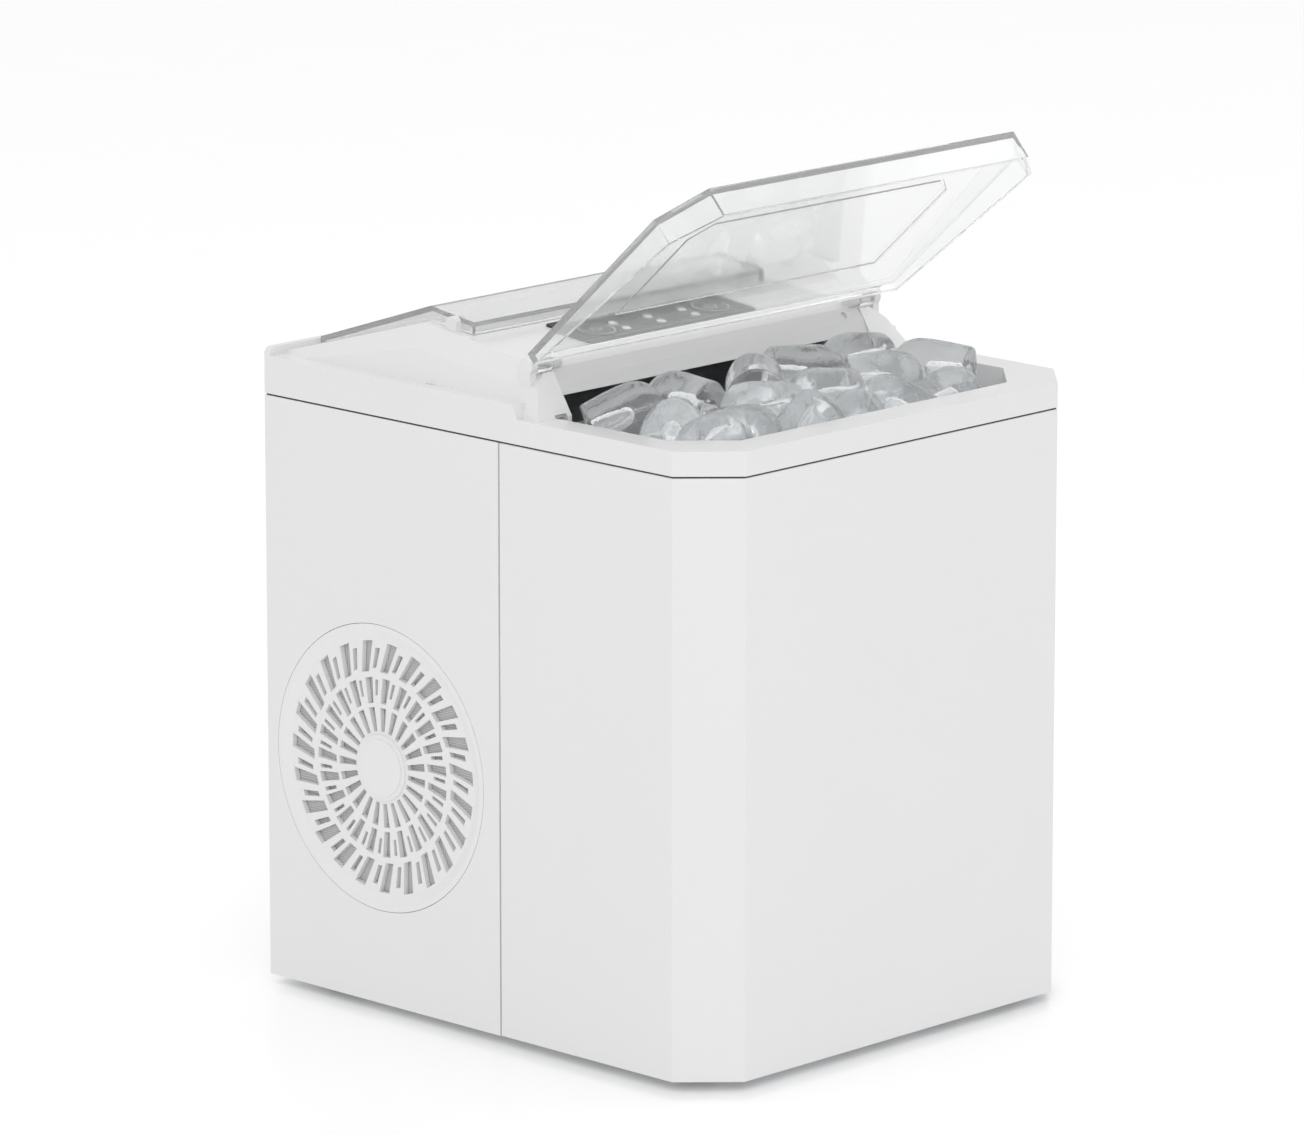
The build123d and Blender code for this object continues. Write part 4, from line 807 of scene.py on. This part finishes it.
def model_band(radius, width, gap=0.0):
    """A thin printed band round Z, with an opening of gap degrees towards +Y."""
    clear_selection()
    bpy.ops.mesh.primitive_circle_add(vertices=72, radius=radius - width / 2, fill_type="NOTHING")
    piece = bpy.context.object
    start_editing(piece, "EDGE", "SELECT")
    bpy.ops.mesh.extrude_edges_move(TRANSFORM_OT_translate={"value": (0, 0, 0)})
    squeeze((radius + width / 2) / (radius - width / 2))
    if gap:
        bpy.ops.mesh.select_mode(type="FACE")
        opening = math.radians(gap / 2)
        pick_faces(piece, lambda at, normal: abs(math.atan2(at.x, at.y)) < opening)
        bpy.ops.mesh.delete(type="FACE")
    return thicken(piece)


def model_stroke(width, low, high):
    """A short printed stroke along Y."""
    clear_selection()
    bpy.ops.mesh.primitive_plane_add(size=1)
    piece = bpy.context.object
    start_editing(piece, action="SELECT")
    bpy.ops.transform.resize(value=(width, high - low, 1))
    bpy.ops.transform.translate(value=(0, (high + low) / 2, 0))
    bpy.ops.mesh.bevel(offset=width * 0.45, segments=3, affect="VERTICES")
    return thicken(piece)


def thicken(piece):
    """Joins the corners of a flat print and gives it its thickness."""
    bpy.ops.object.mode_set(mode="EDIT")
    bpy.ops.mesh.select_all(action="SELECT")
    bpy.ops.mesh.remove_doubles(threshold=0.000001)
    bpy.ops.mesh.normals_make_consistent(inside=False)
    bpy.ops.object.mode_set(mode="OBJECT")
    wall = piece.modifiers.new("ink", "SOLIDIFY")
    wall.thickness = INK
    wall.offset = 0.0
    finish_modifiers(piece)
    return piece


def button_top(name):
    """Middle of a button's sloping top face, and the turn that lays a print on it."""
    low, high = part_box(name)
    centre = (low + high) / 2
    rise = max(v.co.dot(DECK_UP) for v in frame["nodes"][name].data.vertices)
    flat = Vector((centre.x, centre.y, 0))
    centre.z = (rise - flat.dot(DECK_UP)) / DECK_UP.z
    return Matrix.Translation(centre) @ Matrix.Rotation(DECK_SLOPE, 4, "X")


# ---- operators ----

class PaintCase(bpy.types.Operator):
    """Paint the shells, the top cover, the grille, the bar and the feet"""

    bl_idname = "icemaker.paint_case"
    bl_label = "Paint the case"

    def execute(self, context):
        given = context.scene.icemaker_case
        paint("front_shell", "rear_shell",
              material=plastic("White plastic", given.shell, 0.34, dust=0.01, drift=0.01))
        paint("top_cover",
              material=plastic("Cover white", given.cover, 0.26, dust=0.01, drift=0.01,
                               gloss_spread=0.015, depth=0.000002, coat=0.1))
        paint("fan_grille",
              material=plastic("Grille white", given.grille, 0.4, dust=0.05, grain=1200.0,
                               depth=0.00001))
        paint("grille_filter", material=screen_cloth("Screen cloth", given.screen))
        paint("hinge_bar",
              material=plastic("Bar grey", given.bar, 0.3, drift=0.03, coat=0.1))
        paint("rubber_feet", "cord_gland", "compressor_grommets",
              material=plastic("Black rubber", (0.03, 0.03, 0.03, 1), 0.65, drift=0.1,
                               grain=1600.0, depth=0.00003, dust=0.12))
        paint("drain_plug",
              material=plastic("Grey rubber", (0.33, 0.33, 0.34, 1), 0.6, drift=0.05,
                               grain=1600.0, depth=0.00003, dust=0.08))
        return {"FINISHED"}


class PaintClearCovers(bpy.types.Operator):
    """Make the front lid and the rear cover of clear plastic"""

    bl_idname = "icemaker.paint_clear_covers"
    bl_label = "Paint the clear covers"

    def execute(self, context):
        given = context.scene.icemaker_clear
        paint("front_lid", "rear_cover",
              material=clear_plastic("Lid plastic", given.tint, given.roughness))
        return {"FINISHED"}


class PaintControls(bpy.types.Operator):
    """Paint the control panel, the buttons, the lights and their board"""

    bl_idname = "icemaker.paint_controls"
    bl_label = "Paint the controls"

    def execute(self, context):
        given = context.scene.icemaker_case
        paint("control_overlay",
              material=plastic("Panel film", given.panel, 0.42, drift=0.05, grain=2500.0,
                               depth=0.000004, dust=0.03, shine=0.2))
        paint("select_button", "power_button",
              material=plastic("Button film", given.button, 0.45, drift=0.05, grain=2500.0,
                               depth=0.000004, dust=0.03, shine=0.2))
        paint("indicator_lights", material=lamp_lens("Light lens"))
        paint("display_board", "main_board", material=circuit_board("Circuit board"))
        return {"FINISHED"}


class PaintCooling(bpy.types.Operator):
    """Paint the compressor, the pipes, the condenser and the fan"""

    bl_idname = "icemaker.paint_cooling"
    bl_label = "Paint the cooling system"

    def execute(self, context):
        paint("compressor",
              material=plastic("Compressor paint", (0.02, 0.02, 0.022, 1), 0.28, drift=0.1,
                               gloss_spread=0.1, grain=350.0, depth=0.00004, dust=0.2,
                               coat=0.3))
        paint("refrigerant_lines", "filter_drier",
              material=metal("Copper", (0.80, 0.42, 0.28, 1), (0.36, 0.19, 0.13, 1), 0.6, 0.26))
        paint("evaporator",
              material=metal("Nickel plate", (0.74, 0.72, 0.68, 1), (0.55, 0.54, 0.52, 1), 0.4,
                             0.16))
        paint("condenser", material=finned_aluminium("Condenser fins"))
        paint("fan_shroud", "fan_blade",
              material=plastic("Fan black", (0.028, 0.028, 0.03, 1), 0.42, drift=0.08,
                               dust=0.22))
        paint("fan_motor", "cover_screws", "board_standoffs", "front_lid_pins",
              "rear_cover_pins",
              material=metal("Steel", (0.62, 0.62, 0.63, 1), (0.35, 0.33, 0.31, 1), 0.25, 0.3))
        paint("base_pan", "evaporator_bracket", material=zinc_sheet("Zinc sheet"))
        return {"FINISHED"}


class PaintWaterParts(bpy.types.Operator):
    """Paint the tank, the basket, the tray, the shovel, the pump and the hoses"""

    bl_idname = "icemaker.paint_water_parts"
    bl_label = "Paint the water parts"

    def execute(self, context):
        paint("inner_liner", "drain_spout",
              material=plastic("Liner white", (0.72, 0.73, 0.73, 1), 0.38, drift=0.03,
                               dust=0.02))
        paint("ice_basket", material=soft_clear("Basket plastic", (0.86, 0.88, 0.89, 1), 0.55))
        paint("water_tray", "ice_shovel", "strainer",
              material=plastic("Tray white", (0.76, 0.77, 0.77, 1), 0.35, drift=0.03,
                               dust=0.02))
        paint("water_pump", "tray_motor", "shovel_motor", "ice_level_sensor",
              material=plastic("Motor black", (0.035, 0.035, 0.038, 1), 0.4, drift=0.08,
                               dust=0.12))
        paint("pump_hose", "intake_hose", "fill_duct",
              material=soft_clear("Silicone hose", (0.88, 0.89, 0.88, 1), 0.7, 0.25))
        paint("insulation", material=foam_block("White foam"))
        return {"FINISHED"}


class SoftenEdges(bpy.types.Operator):
    """Round the moulded edges of the covers and the bar"""

    bl_idname = "icemaker.soften_edges"
    bl_label = "Soften the edges"

    def execute(self, context):
        for name, width in (("front_lid", 0.9), ("rear_cover", 0.8), ("hinge_bar", 0.5),
                            ("top_cover", 0.7), ("front_shell", 0.6)):
            soften_edges(name, width * MM)
        return {"FINISHED"}


class FillWithIce(bpy.types.Operator):
    """Model the bullet ice and heap it in the basket"""

    bl_idname = "icemaker.fill_with_ice"
    bl_label = "Fill the basket with ice"

    def execute(self, context):
        sizes = context.scene.icemaker_ice
        material = clear_ice("Clear ice", context.scene.icemaker_clear.ice)
        models = [model_bullet(sizes.radius, sizes.length * longer, sizes.hole,
                               sizes.hole_depth, wave)
                  for longer, wave in BULLETS]
        middle = sizes.radius / 2
        for number, (at, way) in enumerate(throw_ice(sizes), 1):
            model = models[number % len(models)]
            piece = bpy.data.objects.new("ice", model.data.copy())
            context.scene.collection.objects.link(piece)
            turn = way.to_track_quat("Z", "Y").to_matrix().to_4x4()
            spin = Matrix.Rotation(number * 2.4, 4, "Z")
            lie = Matrix.Translation(at) @ turn @ spin @ Matrix.Translation((0, 0, -middle))
            set_down(piece, lie, f"ice_bullet_{number:02d}", "case", material)
        for model in models:
            bpy.data.objects.remove(model)
        return {"FINISHED"}


class FitSeamStrip(bpy.types.Operator):
    """Fit a dark strip in the open joint under the top cover, as painted shade in the gap"""

    bl_idname = "icemaker.fit_seam_strip"
    bl_label = "Fit the seam strip"

    def execute(self, context):
        shell_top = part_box("front_shell")[1].z
        low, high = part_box("top_cover")
        piece = model_strip(high.x - low.x - 2 * SEAM_INSET, high.y - low.y - 2 * SEAM_INSET,
                            CUT_CORNER - CUT_SHRINK * SEAM_INSET, SEAM_GAP * 0.85, SEAM_WALL)
        lie = Matrix.Translation(((low.x + high.x) / 2, (low.y + high.y) / 2,
                                  shell_top + SEAM_GAP / 2))
        # Painted shade: the near-black finish of the strip stands in for the shade inside the
        # open seam.
        rubber = plastic("Seam painted shade", (0.035, 0.035, 0.035, 1), 0.7, drift=0.1, grain=1600.0,
                         depth=0.00002, dust=0.0)
        set_down(piece, lie, "seam_strip", "case", rubber)
        return {"FINISHED"}


class PrintButtonMarks(bpy.types.Operator):
    """Print the white rings and the plain signs on the two buttons"""

    bl_idname = "icemaker.print_button_marks"
    bl_label = "Print the button marks"

    def execute(self, context):
        ink = plastic("White print", context.scene.icemaker_case.print_white, 0.4, drift=0.02,
                      grain=3000.0, depth=0.000002, dust=0.0)
        power, select = button_top("power_button"), button_top("select_button")
        marks = (
            (model_band(8.1 * MM, LINE), power, "power_ring", "power_key"),
            (model_band(8.1 * MM, LINE), select, "select_ring", "select_key"),
            (model_band(2.7 * MM, LINE, gap=70), power, "power_sign", "power_key"),
            (model_stroke(LINE, 0.6 * MM, 3.6 * MM), power, "power_stroke", "power_key"),
            (model_band(2.4 * MM, LINE), select, "select_sign", "select_key"),
        )
        for piece, lie, name, body in marks:
            set_down(piece, lie, name, body, ink)
        return {"FINISHED"}


class BuildStudio(bpy.types.Operator):
    """Lay the pale floor, set the soft lights and stand the camera"""

    bl_idname = "icemaker.build_studio"
    bl_label = "Build the studio"

    def execute(self, context):
        given = context.scene.icemaker_studio
        lay_floor(given.floor)
        light_sky(context.scene, given.sky)
        hang_light("Key", (-2.0, -1.9, 1.5), (0, 0, 0.15), 1.2, given.key)
        hang_light("Fill", (2.4, -1.0, 1.6), (0, 0, 0.15), 1.4, given.key * 0.35)
        stand_camera(context.scene)
        context.scene.view_settings.view_transform = "Standard"
        return {"FINISHED"}


def lay_floor(half_width):
    """A pale floor with a faint sheen."""
    clear_selection()
    bpy.ops.mesh.primitive_plane_add(size=half_width * 2)
    floor = bpy.context.object
    floor.name = "floor"
    material, tree, shader = start_material("Floor white")
    shader.inputs["Base Color"].default_value = (0.95, 0.95, 0.95, 1)
    shader.inputs["Emission Color"].default_value = (1, 1, 1, 1)
    shader.inputs["Emission Strength"].default_value = 0.12
    set_input(shader, "Roughness", spread(tree, noise(tree, 9.0), 0.16, 0.22))
    floor.data.materials.append(material)


def light_sky(scene, strength):
    """Even white light, dimmer low down so that clear edges show, and plain white behind."""
    world = bpy.data.worlds.new("Studio")
    scene.world = world
    world.use_nodes = True
    tree = world.node_tree
    tree.nodes.clear()
    split = add(tree, "ShaderNodeSeparateXYZ")
    set_input(split, 0, add(tree, "ShaderNodeTexCoord").outputs["Generated"])
    ramp = add(tree, "ShaderNodeValToRGB")
    ramp.color_ramp.elements[0].position = 0.02
    ramp.color_ramp.elements[0].color = (0.62, 0.62, 0.62, 1)
    ramp.color_ramp.elements[1].position = 0.34
    ramp.color_ramp.elements[1].color = (1, 1, 1, 1)
    set_input(ramp, 0, split.outputs["Z"])
    soft = add(tree, "ShaderNodeBackground")
    set_input(soft, "Color", ramp.outputs["Color"])
    soft.inputs["Strength"].default_value = strength
    plain = add(tree, "ShaderNodeBackground")
    plain.inputs["Color"].default_value = (1, 1, 1, 1)
    chooser = add(tree, "ShaderNodeMixShader")
    set_input(chooser, "Fac", add(tree, "ShaderNodeLightPath").outputs["Is Camera Ray"])
    tree.links.new(soft.outputs[0], chooser.inputs[1])
    tree.links.new(plain.outputs[0], chooser.inputs[2])
    tree.links.new(chooser.outputs[0], add(tree, "ShaderNodeOutputWorld").inputs["Surface"])


def hang_light(name, at, towards, size, power):
    """One large soft light."""
    lamp = bpy.data.lights.new(name, "AREA")
    lamp.size = size
    lamp.energy = power
    holder = bpy.data.objects.new(name, lamp)
    holder.location = at
    holder.rotation_euler = (Vector(towards) - Vector(at)).to_track_quat("-Z", "Y").to_euler()
    bpy.context.scene.collection.objects.link(holder)


def stand_camera(scene):
    """The camera at the front left corner, a little above the lid."""
    lens = bpy.data.cameras.new("Camera")
    lens.sensor_width = 36.0
    lens.lens = 234.8
    lens.clip_end = 60.0
    camera = bpy.data.objects.new("Camera", lens)
    camera.location = (-2.57305, -2.48020, 1.00906)
    camera.rotation_euler = (math.radians(90 - 12.9432), 0, math.radians(-45.8811))
    scene.collection.objects.link(camera)
    scene.camera = camera


STEPS = (PaintCase, PaintClearCovers, PaintControls, PaintCooling, PaintWaterParts, SoftenEdges,
         FillWithIce, FitSeamStrip, PrintButtonMarks, BuildStudio)
SETTINGS = (("icemaker_case", CasePaint), ("icemaker_clear", ClearParts),
            ("icemaker_ice", IceSizes), ("icemaker_studio", StudioSizes))


class IceMakerPanel(bpy.types.Panel):
    """Lists the steps and their settings"""

    bl_idname = "VIEW3D_PT_icemaker"
    bl_label = "Ice maker"
    bl_space_type = "VIEW_3D"
    bl_region_type = "UI"
    bl_category = "Ice maker"

    def draw(self, context):
        for step in STEPS:
            self.layout.operator(step.bl_idname)
        for holder, group in SETTINGS:
            box = self.layout.box()
            for name in group.__annotations__:
                box.prop(getattr(context.scene, holder), name)


def register():
    """Adds the settings, the steps and the panel."""
    for holder, group in SETTINGS:
        bpy.utils.register_class(group)
        setattr(bpy.types.Scene, holder, bpy.props.PointerProperty(type=group))
    for item in STEPS + (IceMakerPanel,):
        bpy.utils.register_class(item)


def unregister():
    """Takes them away again."""
    for item in reversed(STEPS + (IceMakerPanel,)):
        bpy.utils.unregister_class(item)
    for holder, group in reversed(SETTINGS):
        delattr(bpy.types.Scene, holder)
        bpy.utils.unregister_class(group)


def main():
    """Runs every step in order."""
    register()
    for step in STEPS:
        family, name = step.bl_idname.split(".")
        getattr(getattr(bpy.ops, family), name)()


if __name__ == "__main__":
    main()
